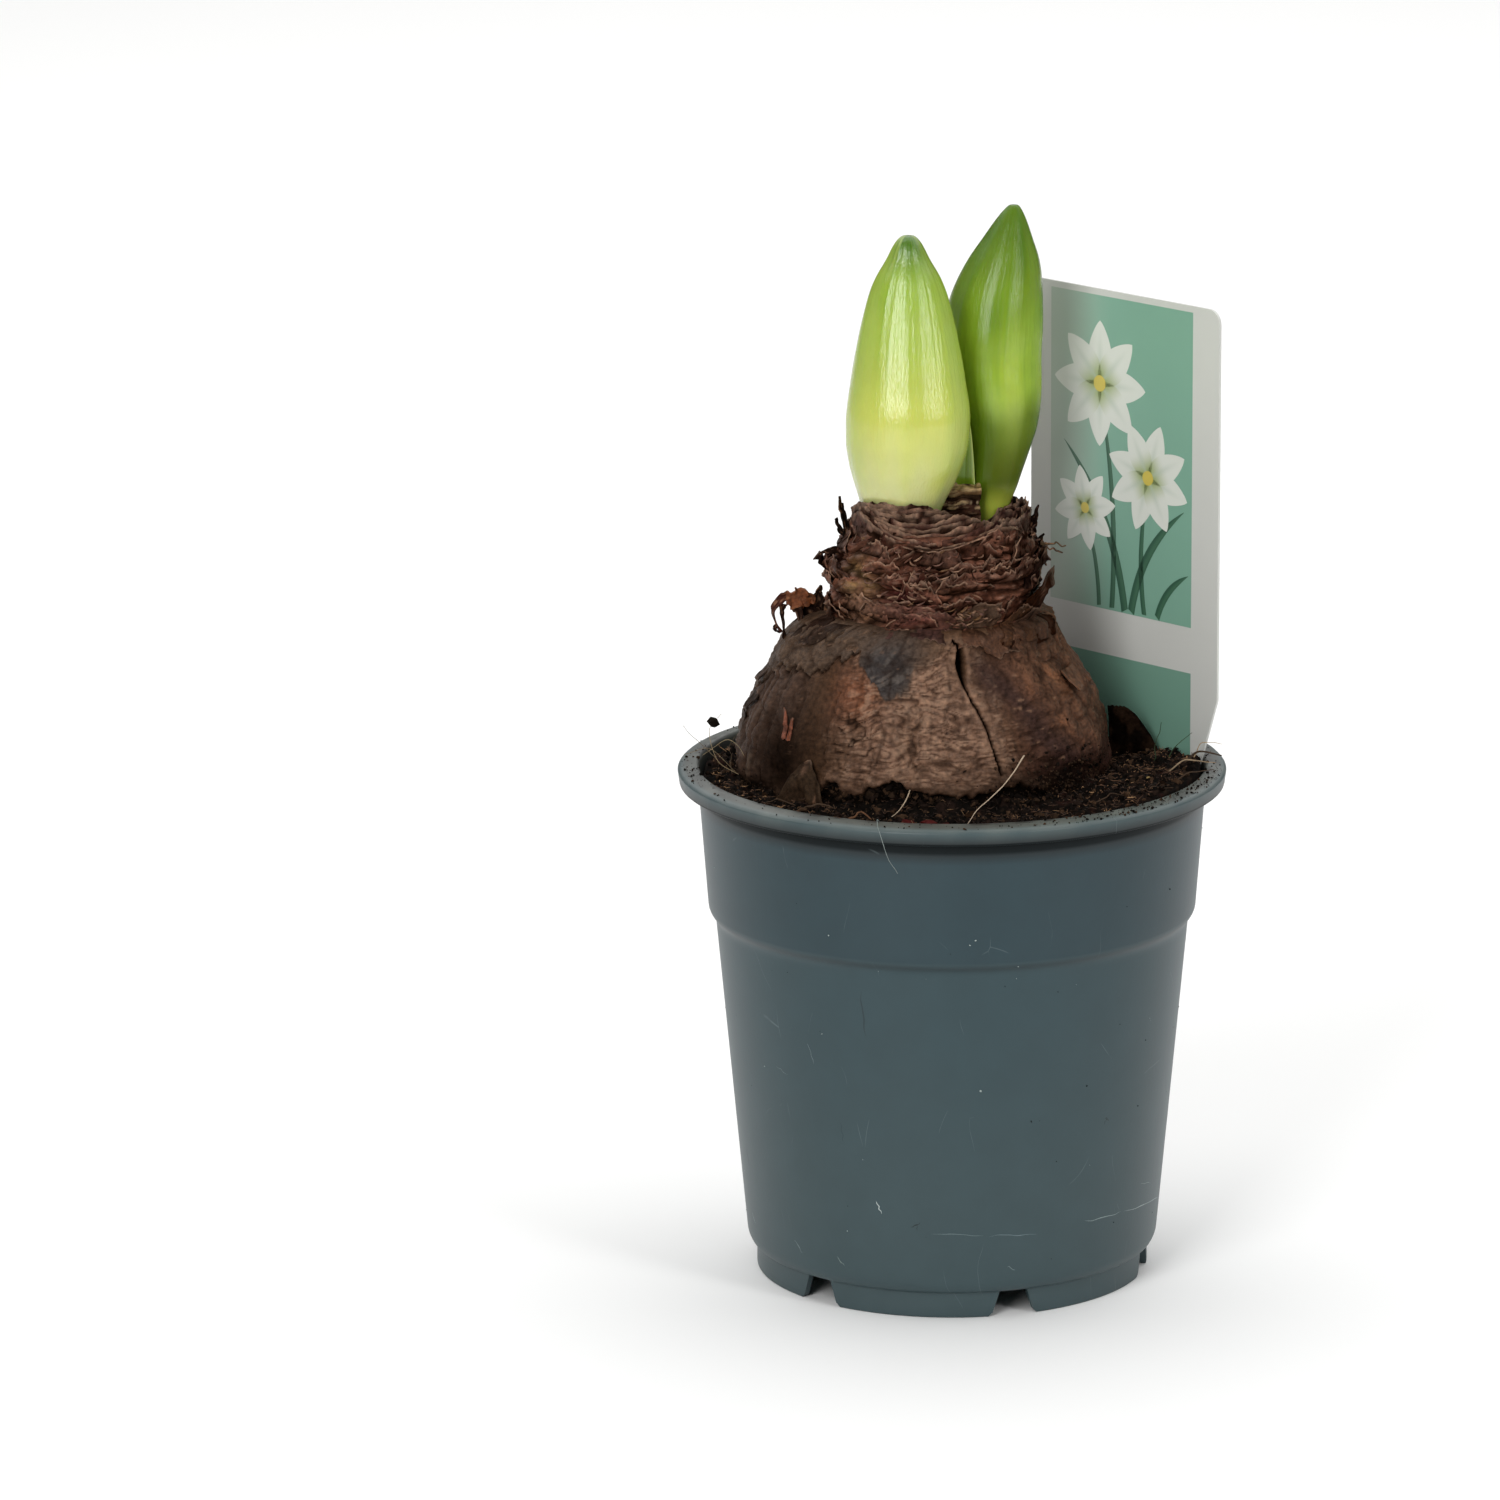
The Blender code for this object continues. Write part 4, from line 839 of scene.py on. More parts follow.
def make_bark():
    """Chips of bark, rind and old skin on the peat: flattened crumbs, most dark, a few coloured."""
    draw = np.random.default_rng(61)
    x, y = soil_spots(draw, BARK_CHIPS)
    known_x, known_y, known_sizes, codes = zip(*KNOWN_CHIPS)
    x, y = np.concatenate([known_x, x]), np.concatenate([known_y, y])
    sizes = np.concatenate([known_sizes, 0.5 + 1.1 * draw.uniform(0, 1, BARK_CHIPS) ** 3])
    shades = tones("#1a110c", "#24180f", "#2e2015", "#120b08")
    colours = np.concatenate([tones(*codes), shades[draw.integers(0, 4, BARK_CHIPS)]])
    middles = joined(x, y, RIM + soil_level(x, y) + 0.15 * sizes)
    points, faces, tints = blobs(draw, middles, sizes, colours)
    centre = np.repeat(middles, 12, axis=0)
    points = centre + (points - centre) * (1.0, 1.0, 0.45)
    return build("bark_chips", [(points, faces, tints)], tunic, "soil", sharp=30)


# Short splinters and long fibres: count, points, shortest, longest, how far they bend, half thickness
FIBRES = ((SPLINTERS, 3, 0.7, 3.2, 0.3, (0.05, 0.17)), (LONG_FIBRES, 9, 3, 7, 1.5, (0.03, 0.08)))


def make_fibres():
    """Shreds of bark and root in the peat: short stiff splinters at all slants, and a few long fibres.

    Each is a rod that keeps turning by the same small angle, thinner towards both ends.
    """
    draw = np.random.default_rng(43)
    shades = tones("#2d1f16", "#3a281c", "#1c130e", "#4d3826", "#120d0a", "#6b5239")
    parts = []
    for count, points, shortest, longest, bend, thick in FIBRES:
        x, y = soil_spots(draw, count, edge=1.5)
        share = np.linspace(-0.5, 0.5, points)
        length = shortest + (longest - shortest) * draw.uniform(0, 1, count) ** 2
        heading = draw.uniform(0, math.tau, count)[:, None]
        heading = heading + draw.uniform(-bend, bend, count)[:, None] * share
        run_x = np.cumsum(np.cos(heading), axis=1) * length[:, None] / points
        run_y = np.cumsum(np.sin(heading), axis=1) * length[:, None] / points
        path_x = x[:, None] + run_x - run_x.mean(axis=1, keepdims=True)
        path_y = y[:, None] + run_y - run_y.mean(axis=1, keepdims=True)
        inside = np.minimum(1, (POT_INSIDE - 0.4) / np.hypot(path_x, path_y))
        path_x, path_y = path_x * inside, path_y * inside
        slant = draw.normal(0, 0.35, count)[:, None] * share * length[:, None]
        lift = draw.uniform(0.0, 0.5, count)[:, None] * (1 - 4 * share**2) + 0.12
        ground = soil_level(path_x, path_y).mean(axis=1, keepdims=True)
        paths = joined(path_x, path_y, RIM + ground + np.abs(slant) + lift)
        shade = shades[draw.choice(len(shades), count, p=(0.28, 0.24, 0.2, 0.14, 0.09, 0.05))][:, None]
        shade = shade * (1 + 1.3 * step(14, 34, np.abs(x + 6))[:, None, None])
        radii = draw.uniform(*thick, count)[:, None] * (1 - 0.6 * np.abs(share) * 2)
        parts.append(tubes(paths, radii, shade, sides=4))
    return build("soil_fibres", parts, fibre, "soil", welded=True)


def body_relief(angle, height):
    """How far the body's skin stands out, and its colours.

    The skin is lobes, upright streaks and folds with sharp creases, all noise on a cylinder of the bulb's
    size, bent by slower noise. Where the old outer skin is left it stands higher, by a step along its
    torn edge. The split, the seams and the cracks are grooves by the distance to their lines, with
    raised lips, and the skin's foot is lifted along its own torn edge. The colours follow the same
    masks: front, left and right of the skin, old and new skin, tongue, seams and stuck peat. Painted
    shade darkens the bottoms of the folds, the cracks, seams and split, the strip under the torn edge,
    the skin just above its foot and the bare band under it; painted highlights pale the crests and the
    lips, and painted glints sit on the crinkles.
    """
    turn = np.degrees(angle)
    x, y = BODY_RADIUS * np.sin(angle), -BODY_RADIUS * np.cos(angle)
    wide = through(BODY_OUTSIDE, height).mean() * math.pi / 180
    above = step(-4, 1, height)
    lobes = layered(51, 2, x / 15, y / 15, height / 24)
    bent = height + 2.2 * noise(54, x / 9, y / 9, height / 9) + 0.6 * noise(57, x / 3, y / 3, height / 4)
    slanted = 0.8 * bent - SKIN_SLANT * angle
    patchy = step(-0.6, 0.2, noise(60, x / 2.2, y / 2.2, height / 1.8))
    wrinkle = 1 - (1 - folds(56, x / 4.2, y / 4.2, bent / 0.85)) * patchy
    crinkle = folds(59, x / 2.0, y / 2.0, bent / 0.5)
    slant = folds(67, x / 4.5, y / 4.5, slanted / 1.1)
    streak = folds(55, x / 2.6, y / 2.6, height / 16)
    mottle = layered(68, 4, x / 5, y / 5, height / 5)
    fine = noise(58, x / 0.8, y / 0.8, height / 0.8)

    ragged = 1.1 * noise(61, x / 1.6, y / 1.6) + 0.5 * noise(62, x / 0.5, y / 0.5)
    over_edge = height - broken(SKIN_EDGE, turn) - ragged
    soft = 1 + 9 * step(-13, -5, turn) * step(30, 20, turn)
    old = step(-0.15, 0.25, over_edge / soft)
    # the strip under the torn edge, sunk and darkened as painted shadow of the ledge
    under_edge = step(-0.9, -0.1, over_edge) * (1 - old) * (0.15 + 0.85 * step(-24, -30, turn)) * (turn < 4)
    over_foot = height - broken(SKIN_FOOT, turn) - 0.8 * ragged
    bare = 1 - step(-0.3, 0.5, over_foot)
    lifted = bell(over_foot, 1.0, 1.3) * (1 - bare)
    from_split, along_split = near_path(np.array(SPLIT) * (wide, 1), turn * wide, height + 0.4 * fine)
    mouth = bell(along_split, 0.27, 0.11)
    split_width = 0.32 + 0.95 * mouth
    split = 1 - step(split_width * 0.5, split_width * 1.15, from_split)
    lip = bell(from_split, split_width + 0.7, 0.9)
    wavy = turn * wide + 0.9 * noise(65, x / 2, y / 2, height / 2) + 0.4 * noise(70, x, y, height)
    from_seams = [near_path(np.array(path) * (wide, 1), wavy, height)[0] for path in SEAMS]
    seam = bell(from_seams[0], 0, 0.55) + 0.8 * bell(np.minimum.reduce(from_seams[1:]), 0, 0.28)
    seam_lip = bell(from_seams[0], 1.2, 0.7) * (turn < -2.0)
    from_band, _ = near_path(np.array(SHADE_BAND) * (wide, 1), turn * wide, height + 1.5 * lobes)

    new = 1 - old
    front = step(-38, -16, turn + 3 * mottle) * step(38, 14, turn - 0.6 * (15 - height) + 4 * mottle)
    front = front * step(1, 6, height) * new
    left = step(-36, -56, turn) * step(-125, -90, turn) * new
    right = step(22, 38, turn) * step(125, 95, turn)
    tongue = old * bell(turn, -15, 13) * bell(height, 27, 6.5)
    cracked = bell(turn, -24, 8.5) * bell(height, 13.5, 7) * new
    cells = np.maximum(veins(63, 0.13, x / 3.2, y / 3.2, bent / 1.7),
                       veins(64, 0.10, x / 1.7, y / 1.7, height / 5) * (0.3 + 0.7 * cracked))
    cells = cells * np.clip(0.14 * front + 1.3 * cracked + 0.25 * left, 0, 1)

    out = 1.0 * lobes + streak * (0.08 + 0.35 * left + 0.05 * old + 0.20 * front)
    out = out + 0.12 * mottle + 0.05 * fine
    rough = folds(69, x / 5.5, y / 5.5, bent / 3.2)
    out = out + wrinkle * (0.08 + 0.36 * front + 0.10 * left)
    out = out + crinkle * (0.12 + 0.12 * front + 0.14 * right + 0.12 * old)
    out = out + 0.75 * (rough - 0.55) * np.clip(right + left + 0.6 * old, 0, 1)
    out = out + 0.30 * slant * tongue + 0.40 * old - 0.6 * under_edge - 0.6 * cells + 0.5 * lip
    out = out - 0.5 * seam + 0.6 * seam_lip - 1.3 * bare + 0.7 * lifted
    out = (out - (1.2 + 1.6 * mouth) * split) * above

    # glints painted where the crinkles' crests would catch the light
    painted_glint = step(0.4, 0.9, noise(79, x / 1.2, y / 1.2, height / 0.8)) * step(0.5, 1.0, crinkle)
    stuck = bell(turn, 46, 20) * step(9.5, 3.5, height + 2 * mottle) + step(2.2, -1.0, height + mottle)
    speckle = step(0.5, 0.75, noise(66, x / 0.7, y / 0.7, height / 0.7))
    colours = toned(
        plain("#46301f", height),
        "#38261a", step(-0.2, 0.6, lobes),
        "#6d4f3c", front * 0.95,
        "#57402f", front * step(0.2, 1.0, mottle) * 0.7,
        "#6d4027", bell(turn, -25, 8.5) * bell(height, 22.5, 5) * new,
        "#5b3b28", right * 0.95,
        "#7d4e2f", right * step(0.1, 0.9, mottle) * 0.8,
        "#37241a", right * step(0.1, 0.9, -mottle) * 0.75,
        "#372621", bell(from_band, 0, 4.6) * step(16, 26, turn) * 0.95,
        "#321d19", right * bell(height, 4, 6) * 0.85,
        "#48352a", left * 0.85,
        "#0f0b09", bell(turn, -50, 14) * bell(height, 7, 10.5) * new * 0.98,
        "#191209", step(0.2, 1.0, mottle) * left * 0.6,
        "#513f31", old * step(10, -8, turn) * 0.9,
        "#382b22", old * step(0.3, 1.0, -mottle) * 0.5,
        "#4a3524", old * step(-20, -60, turn) * step(0.0, 0.8, mottle) * 0.6,
        "#5a4230", old * step(-8, 6, turn) * 0.8,
        "#34302f", np.clip(tongue * 1.35, 0, 1) * 0.95,
        # paler slanting crests on the tongue: painted highlight
        "#5a514a", tongue * step(0.5, 0.95, slant) * 0.55,
        # dark bottoms of streaks, folds, wrinkles and crinkles: painted shade; pale streak crests: painted
        # highlight
        "#1d130d", step(0.3, 0, streak) * (0.10 + 0.45 * left + 0.08 * old + 0.18 * front),
        "#5c4a3b", step(0.75, 1.0, streak) * 0.4 * left * bell(turn, -64, 12) * step(-0.2, 0.5, mottle),
        "#20150f", step(0.35, 0, rough) * np.clip(right + left + old, 0, 1) * 0.5,
        "#2c1c13", step(0.45, 0, wrinkle) * (0.05 + 0.62 * front),
        "#24170f", step(0.5, 0, crinkle) * (0.24 + 0.26 * front + 0.16 * right + 0.1 * old),
        # painted glints on the crinkles' crests
        "#8a6448", painted_glint * np.clip(right + 0.6 * old + 0.5 * left, 0, 1) * 0.45 * step(4, 9, height),
        # pale wrinkle crests: painted highlight
        "#8f6f57", step(0.6, 1.0, wrinkle) * step(0.3, 0.9, crinkle) * front * 0.5,
        # paler lifted foot, seam lips and split lips: painted highlight
        "#7d5d47", lifted * 0.45 + seam_lip * 0.35 + lip * 0.25,
        # painted shade in the cracks, under the torn edge and in the seams
        "#1a110c", np.clip(cells + under_edge + 0.45 * seam, 0, 1) * 0.9,
        "#2f2018", bell(turn, 60, 24) * step(26, 32, height) * 0.75,
        # painted shade in the split
        "#070403", split,
        # painted shade on the skin just above its foot, and in the bare band under the lifted foot
        "#2a1b13", step(4.5, 0.2, over_foot + 2 * mottle) * 0.8 * step(10, 3, height),
        "#0c0906", bare * 0.95,
        "#0f0b08", np.clip(stuck, 0, 1) * 0.92,
        "#1e140e", speckle * (0.25 + 0.4 * right),
    )
    return out, colours


def make_bulb_body():
    """The bulb's round body: its outline turned round its leaning middle, with the skin's relief.

    The columns crowd towards the front: each angle is its even share less half that share's sine.
    """
    buried = np.array([-35.8, -33.5, -31.0, -28.0, -24.0, -19.0, -14.0, -9.0, -6.0])
    height = np.concatenate([buried, np.linspace(-4.0, BODY_TOP, BODY_ROWS)])[:, None]
    even = all_round(BODY_COLUMNS)
    height, angle = np.broadcast_arrays(height, even - 0.5 * np.sin(even))
    out, colours = body_relief(angle, height)
    points = on_bulb(BODY_OUTSIDE, angle, height, out)
    points = np.concatenate([pole(points[0]), points, pole(points[-1])])
    colours = np.concatenate([colours[:1], colours, colours[-1:]])
    return build("bulb_body", [grid(points, colours, around=True)], tunic, "bulb", welded=True)


def neck_colour(angle, height, seed):
    """Red-brown papery scales, with ochre, maroon and dull purple places as dry tunics have."""
    turn = np.degrees(angle)
    x, y = 20 * np.sin(angle), -20 * np.cos(angle)
    cloud = layered(seed, 2, x / 4, y / 4, height / 1.8)
    broad = noise(seed + 9, x / 7, y / 7, height / 4)
    return toned(
        plain("#593424", height),
        "#30170f", step(0.0, 0.7, cloud),
        "#7c4d39", step(0.1, 0.8, -cloud),
        "#24120b", step(0.15, 0.8, broad) * 0.65,
        "#84523a", step(0.2, 0.8, -broad) * 0.45,
        "#3a2016", step(47.5, 51.5, height) * 0.3,
        "#2c060b", bell(turn, -18, 14) * bell(height, 42.5, 4.2),
        "#86683a", bell(turn, -48, 12) * bell(height, 45.0, 3.6) * 0.85 * step(-0.9, 0.3, cloud),
        "#7f4a3e", bell(turn, -12, 22) * bell(height, 38.6, 3.0) * 0.9,
        "#8a6348", bell(turn, -44, 14) * bell(height, 37.0, 3.6) * 0.9,
        "#5c3524", bell(turn, 36, 14) * bell(height, 49.5, 3.5) * 0.8,
        "#2a170f", bell(turn, 78, 22) * 0.65,
    )


def make_bulb_neck():
    """The neck under the torn scales: its outline turned, crumpled level by level, and its hollow.

    Three sizes of folds with sharp creases lie on it, bent up and down by slower noise. Painted
    shade darkens their creases and a painted highlight pales the narrow crests.
    """
    climb = np.linspace(30.0, NECK_CREST, NECK_ROWS)
    inside = np.array([55.0, 54.6, 54.0, 53.4, NECK_FLOOR, NECK_FLOOR, NECK_FLOOR])
    inner_radius = np.array([17.9, 17.2, 16.9, 16.6, 15.0, 8.0, 0.0])
    angle = all_round(NECK_COLUMNS)
    height, turn = np.broadcast_arrays(climb[:, None], angle)
    x, y = NECK_RADIUS * np.sin(turn), -NECK_RADIUS * np.cos(turn)
    bent = height + 1.7 * noise(72, x / 8, y / 8, height / 9) + 0.8 * noise(73, x / 3, y / 3, height / 4)
    broad = folds(71, x / 8, y / 8, bent / 1.9)
    middle = folds(74, x / 3.2, y / 3.2, bent / 0.95)
    narrow = folds(76, x / 1.5, y / 1.5, bent / 0.5)
    out = 1.3 * broad + 0.65 * middle + 0.28 * narrow - 1.1 + 0.5 * noise(77, x / 6, y / 6, height / 4)
    outer = on_bulb(NECK_OUTSIDE, turn, height, out)
    colours = neck_colour(turn, height, 75)
    colours = toned(
        colours,
        # painted shade in the creases, then a painted highlight on the narrow crests
        "#150b07", step(0.45, 0, broad) * 0.85,
        "#1e110b", step(0.45, 0, middle) * 0.6,
        "#7a5947", step(0.6, 1.0, narrow) * step(0.4, 0.9, middle) * 0.5,
    )
    inner_height, inner_turn = np.broadcast_arrays(inside[:, None], angle)
    middle = through(BULB_LEAN, inner_height), through(BULB_BACK, inner_height)
    inner = turned(inner_radius[:, None], inner_turn, inner_height + RIM, middle)
    points = np.concatenate([pole(outer[0]), outer, inner])
    colours = np.concatenate([colours[:1], colours, plain("#1a100b", inner_height)])
    return build("bulb_neck", [grid(points, colours, around=True)], tunic, "bulb", welded=True)


def band_grid(count, rows, columns):
    """Rows from 0 at the foot to 1 at the edge and columns from -1 to 1, the same for every band."""
    up = np.linspace(0, 1, rows)[None, :, None]
    across = np.linspace(-1, 1, columns)[None, None, :]
    return np.broadcast_to(up, (count, rows, columns)), np.broadcast_to(across, (count, rows, columns))


def torn(seed, along, kind):
    """A torn edge's share of its full height: slow waves, nicks and fine teeth along it."""
    teeth = 0.30 * noise(seed, along / 3.0, kind) + 0.25 * noise(seed + 1, along / 1.1, kind)
    return 1 + teeth + 0.20 * noise(seed + 2, along / 0.4, kind)


def papery(colours, seed, along, height, kind, up):
    """Torn skin's colouring: dark level creases and foot, and a thin pale torn edge here and there."""
    crest = folds(seed, along / 2.4, height / 0.9, kind)
    pale = step(0.80, 1.0, up) * step(-0.3, 0.5, noise(seed + 1, along / 1.5, kind))
    return toned(
        colours,
        # painted highlight on the crests, then painted shade in the creases
        "#8d6550", step(0.7, 1.0, crest) * step(-0.2, 0.6, noise(seed + 3, along / 2, kind)) * 0.6,
        "#0a0402", step(0.5, 0, crest) * 0.92,
        "#150b07", step(0.2, 0.8, noise(seed + 2, along / 1.2, height / 0.8, kind)) * 0.5,
        # painted shade towards the sheet's foot
        "#0d0603", (1 - up) ** 2 * 0.9,
        "#a07d64", pale * 0.6,
    )


def make_neck_scales():
    """Torn ends of old scales round the neck: bands of all tilts, from a snug foot to a torn, flared edge.

    A band is a stretch of the neck's outline from its foot up; its height falls off to its two ends.
    """
    draw = np.random.default_rng(47)
    count, rows, columns = NECK_SCALES, 8, 38
    up, across = band_grid(count, rows, columns)
    foot = np.linspace(33.5, 53.2, count) + draw.uniform(-0.6, 0.6, count)
    middle = draw.uniform(-math.pi, math.pi, count)
    half = 0.14 + 0.50 * draw.uniform(0, 1, count) ** 1.5
    tall = draw.uniform(1.6, 5.0, count)
    flare = draw.uniform(0.2, 1.5, count)
    tilt = draw.normal(0, 3.0, count)
    kind = np.arange(count)[:, None, None] * 3.7
    measures = (foot, middle, half, tall, flare, tilt)
    foot, middle, half, tall, flare, tilt = (measure[:, None, None] for measure in measures)
    angle = middle + across * half
    along = angle * NECK_RADIUS
    ends = 1 - np.abs(across) ** 3 * 0.85
    slope = tilt * across * half + 1.0 * noise(81, angle * 2.2, kind)
    height = foot + slope + tall * ends * torn(82, along, kind) * up
    height = np.minimum(height, broken(OUTER_EDGE, np.degrees(angle)) - 0.5)
    crumple = 0.75 * folds(85, along / 2.6, height / 1.3, kind)
    crumple = crumple + 0.25 * noise(86, along / 0.7, height / 0.9, kind)
    out = 0.25 + flare * ends * up**1.6 + crumple * up + 0.6 * noise(84, along / 5, kind) * up
    points = on_bulb(NECK_OUTSIDE, angle, height, out)
    colours = neck_colour(angle, height, 87)
    odd = lattice(88, [np.broadcast_to(kind, up.shape) * 10])
    colours = toned(
        colours,
        "#5c4133", step(0.4, 0.9, odd) * 0.5,
        "#23120d", step(0.1, 0.9, -odd) * 0.75,
    )
    bands = grids(points, papery(colours, 89, along, height, kind, up))
    chips = make_chips(draw)
    return build("neck_scales", [bands, chips], dry_scale, "bulb", thickness=0.2)


# Where the chips gather: angle and height, the spread of both, and how many
CHIP_SPOTS = (((18, 38.5), (8, 2.4), 48), ((0, 48.5), (9, 1.6), 22), ((-14, 45), (14, 4.5), 20))


def make_chips(draw):
    """Small pale curls and shreds caught in the neck's scales: strips that arch off it, twisting."""
    count, rows = 120, 7
    spots = [draw.normal(middle, spread, (number, 2)) for middle, spread, number in CHIP_SPOTS]
    spots = np.concatenate([*spots, draw.uniform((-100, 34), (100, 54), (30, 2))])
    angle, height = np.radians(spots[:, 0]), np.clip(spots[:, 1], 32, 54)
    way = draw.uniform(-0.9, 0.9, count)
    length, lift = draw.uniform(0.8, 2.6, count), draw.uniform(0.3, 1.1, count)
    share = np.linspace(-0.5, 0.5, rows)[None]
    run = share * length[:, None]
    curve = draw.uniform(-0.25, 0.25, count)[:, None] * (4 * share**2)
    side_turn = (run * np.cos(way)[:, None] - curve * np.sin(way)[:, None]) / NECK_RADIUS
    rise = run * np.sin(way)[:, None] + curve * np.cos(way)[:, None]
    out = 0.9 + lift[:, None] * (1 - 4 * share**2)
    path = on_bulb(NECK_OUTSIDE, angle[:, None] + side_turn, np.clip(height[:, None] + rise, 31, 56), out)
    twist = draw.uniform(0, math.pi, count)[:, None] + share * draw.uniform(-2, 2, count)[:, None]
    outward = np.stack([np.sin(angle), -np.cos(angle), 0 * angle], axis=-1)[:, None]
    sideways = np.cos(twist)[..., None] * outward + np.sin(twist)[..., None] * np.array([0.0, 0.0, 1.0])
    width = draw.uniform(0.08, 0.30, count)[:, None, None] * (1 - 3.2 * share[..., None] ** 2)
    points = np.stack([path - sideways * width, path + sideways * width], axis=2)
    shades = tones("#65463a", "#745440", "#5a3729", "#3a2018", "#61442a", "#866650")
    return grids(points, shades[draw.integers(0, len(shades), count)][:, None, None])


def ring_sheets(draw, middle, radii, edges, foot, centre, half, codes, seed, wave=0.5, ragged=1.7,
                rim_code="#4a3024"):
    """Upright torn sheets bent round a stem, each at its own radius, up to its own torn top edge.

    middle is one place or one for each sheet, and edges the sheets' top heights by angle in degrees.
    """
    radii = np.array(radii, dtype=float)
    count, rows, columns = len(radii), 9, 76
    up, across = band_grid(count, rows, columns)
    middle = np.broadcast_to(np.array(middle, dtype=float), (count, 2))[:, None, None]
    centre, half = np.broadcast_to(centre, count), np.broadcast_to(half, count)
    kind = np.arange(count)[:, None, None] * 5.3
    turn = centre[:, None, None] + across * half[:, None, None]
    angle = np.radians(turn)
    along = angle * radii[:, None, None]
    top = np.stack([broken(edge, turn[i]) for i, edge in enumerate(edges)])
    ends = 1 - np.abs(across) ** 5 * 0.5
    height = foot + (top - foot) * ends * up + (torn(seed, along, kind) - 1) * ragged * up**2
    sway = wave * noise(seed + 5, along / 3.5, kind)
    sway = sway + 0.3 * folds(seed + 6, along / 1.6, height / 0.9, kind)
    reach = radii[:, None, None] + sway * up
    points = turned(reach, angle, height + RIM, (middle[..., 0], middle[..., 1]))
    shades = tones(*codes)[draw.integers(0, len(codes), count)][:, None, None]
    colours = papery(np.broadcast_to(shades, points.shape).copy(), seed + 7, along, height, kind, up)
    torn_rim = step(0.90, 0.98, up) * step(-0.4, 0.3, noise(seed + 9, along / 2.5, kind))
    return grids(points, toned(colours, rim_code, torn_rim * 0.5))


def clear_of_stems(patch):
    """Drop a sheet's points below the hollow's floor where they would stand in a stem or the leaf."""
    points, faces, colours = patch
    x, y = points[:, 0], points[:, 1]
    for middle_x, middle_y, radius in (FRONT_STEM, REAR_STEM, (*LEAF_FOOT, 2.4)):
        inside = np.hypot(x - middle_x, y - middle_y) < radius + 0.25
        points[:, 2] = np.where(inside, np.minimum(points[:, 2], RIM + NECK_FLOOR - 0.4), points[:, 2])
    return points, faces, colours


def blended_edges(shares, inner, outer):
    """Top edges between two others, for sheets at those shares of the way out."""
    turns = np.arange(-180, 181, 5.0)
    low, high = broken(inner, turns), broken(outer, turns)
    return [np.stack([turns, low * (1 - share) + high * share], axis=1) for share in shares]


def make_collars():
    """Nested torn sheets in the top of the neck: round each stem, between them and round the crest.

    In front they pass by shares from a ring round the front stem to one round the whole neck.
    """
    draw = np.random.default_rng(53)
    browns = ("#4c3226", "#3c261b", "#57392b", "#2f1c14", "#43281f")
    dark = ("#1d100d", "#2a1614", "#170c0a", "#331d19")
    shares = np.array([0.0, 0.08, 0.18, 0.30, 0.43, 0.57, 0.71, 0.86, 1.0])
    start, end = np.array(FRONT_STEM[:2]), np.array((BULB_LEAN[-2][1], BULB_BACK[-1][1]))
    middles = start + (end - start) * shares[:, None]
    radii = 9.9 + (19.6 - 9.9) * shares
    around = blended_edges(np.ones(7), OUTER_EDGE, OUTER_EDGE)
    patches = [
        ring_sheets(draw, middles, radii, blended_edges(shares, FRONT_EDGE, OUTER_EDGE), 50.5,
                    -22 + 18 * shares, 90 - 20 * shares, browns, 101,
                    wave=0.35, ragged=1.0, rim_code="#83644d"),
        ring_sheets(draw, REAR_STEM[:2], (5.4, 6.2, 7.2, 8.4),
                    blended_edges(np.zeros(4), REAR_EDGE, REAR_EDGE), 50.5,
                    (84, 74, 66, 60), (106, 88, 76, 66), dark, 111),
        ring_sheets(draw, end, (19.4, 18.8, 17.8, 16.6, 15.2, 13.6, 11.8), around, 51.0,
                    (150, 170, 190, 170, 185, 175, 180), (118, 110, 104, 98, 90, 84, 80),
                    dark + browns, 121),
        ring_sheets(draw, end, (18.0, 18.7, 19.4), around[:3], 51.0, (62, 58, 66), (34, 42, 48), dark, 131),
    ]
    patches = [clear_of_stems(patch) for patch in patches]
    return build("neck_collars", patches, dry_scale, "bulb", thickness=0.22)


def make_strip():
    """The cut stub of a scale between the buds: a bent sheet with level ridges and a ragged top.

    It stands off its own middle surface by folds along its height, pale on top and dark below.
    Painted shade darkens the ridges' creases and painted highlights pale their crests.
    """
    up, across = np.meshgrid(np.linspace(0, 1, 64), np.linspace(-1, 1, 50), indexing="ij")
    x = 2.0 + 4.1 * across + 0.35 * noise(151, up * 9, across * 0.6)
    tall = 12.6 + 0.25 * noise(152, across * 3.0) + 0.3 * noise(153, across * 9.0)
    height = 50.4 + tall * up
    bent = height + 0.5 * noise(154, x / 2.5, height / 5)
    ridge = folds(155, x / 7.0, bent / 1.5)
    thin = folds(156, x / 3.0, bent / 0.6)
    y = -1.6 + 0.035 * (x - 2.0) ** 2 - 0.8 * ridge - 0.3 * thin
    points = joined(x, y, height + RIM)
    colours = toned(
        plain("#6e5233", up),
        "#3a2318", step(61.5, 58.8, height),
        "#7a6a36", step(61.6, 62.2, height) * 0.8,
        # painted shade in the ridges' creases, then painted highlights on their crests
        "#130a07", step(0.5, 0, ridge) * 0.9,
        "#a98d63", step(0.6, 1.0, thin) * step(0.4, 0.9, ridge) * step(50, 61, height) * 0.7,
        "#8f7a5c", bell(height, 58.9, 0.30) * step(1.5, 3.5, x) * step(-0.1, 0.5, noise(157, x * 2)),
    )
    return build("cut_scale", [grid(points, colours)], dry_scale, "bulb", thickness=0.5)


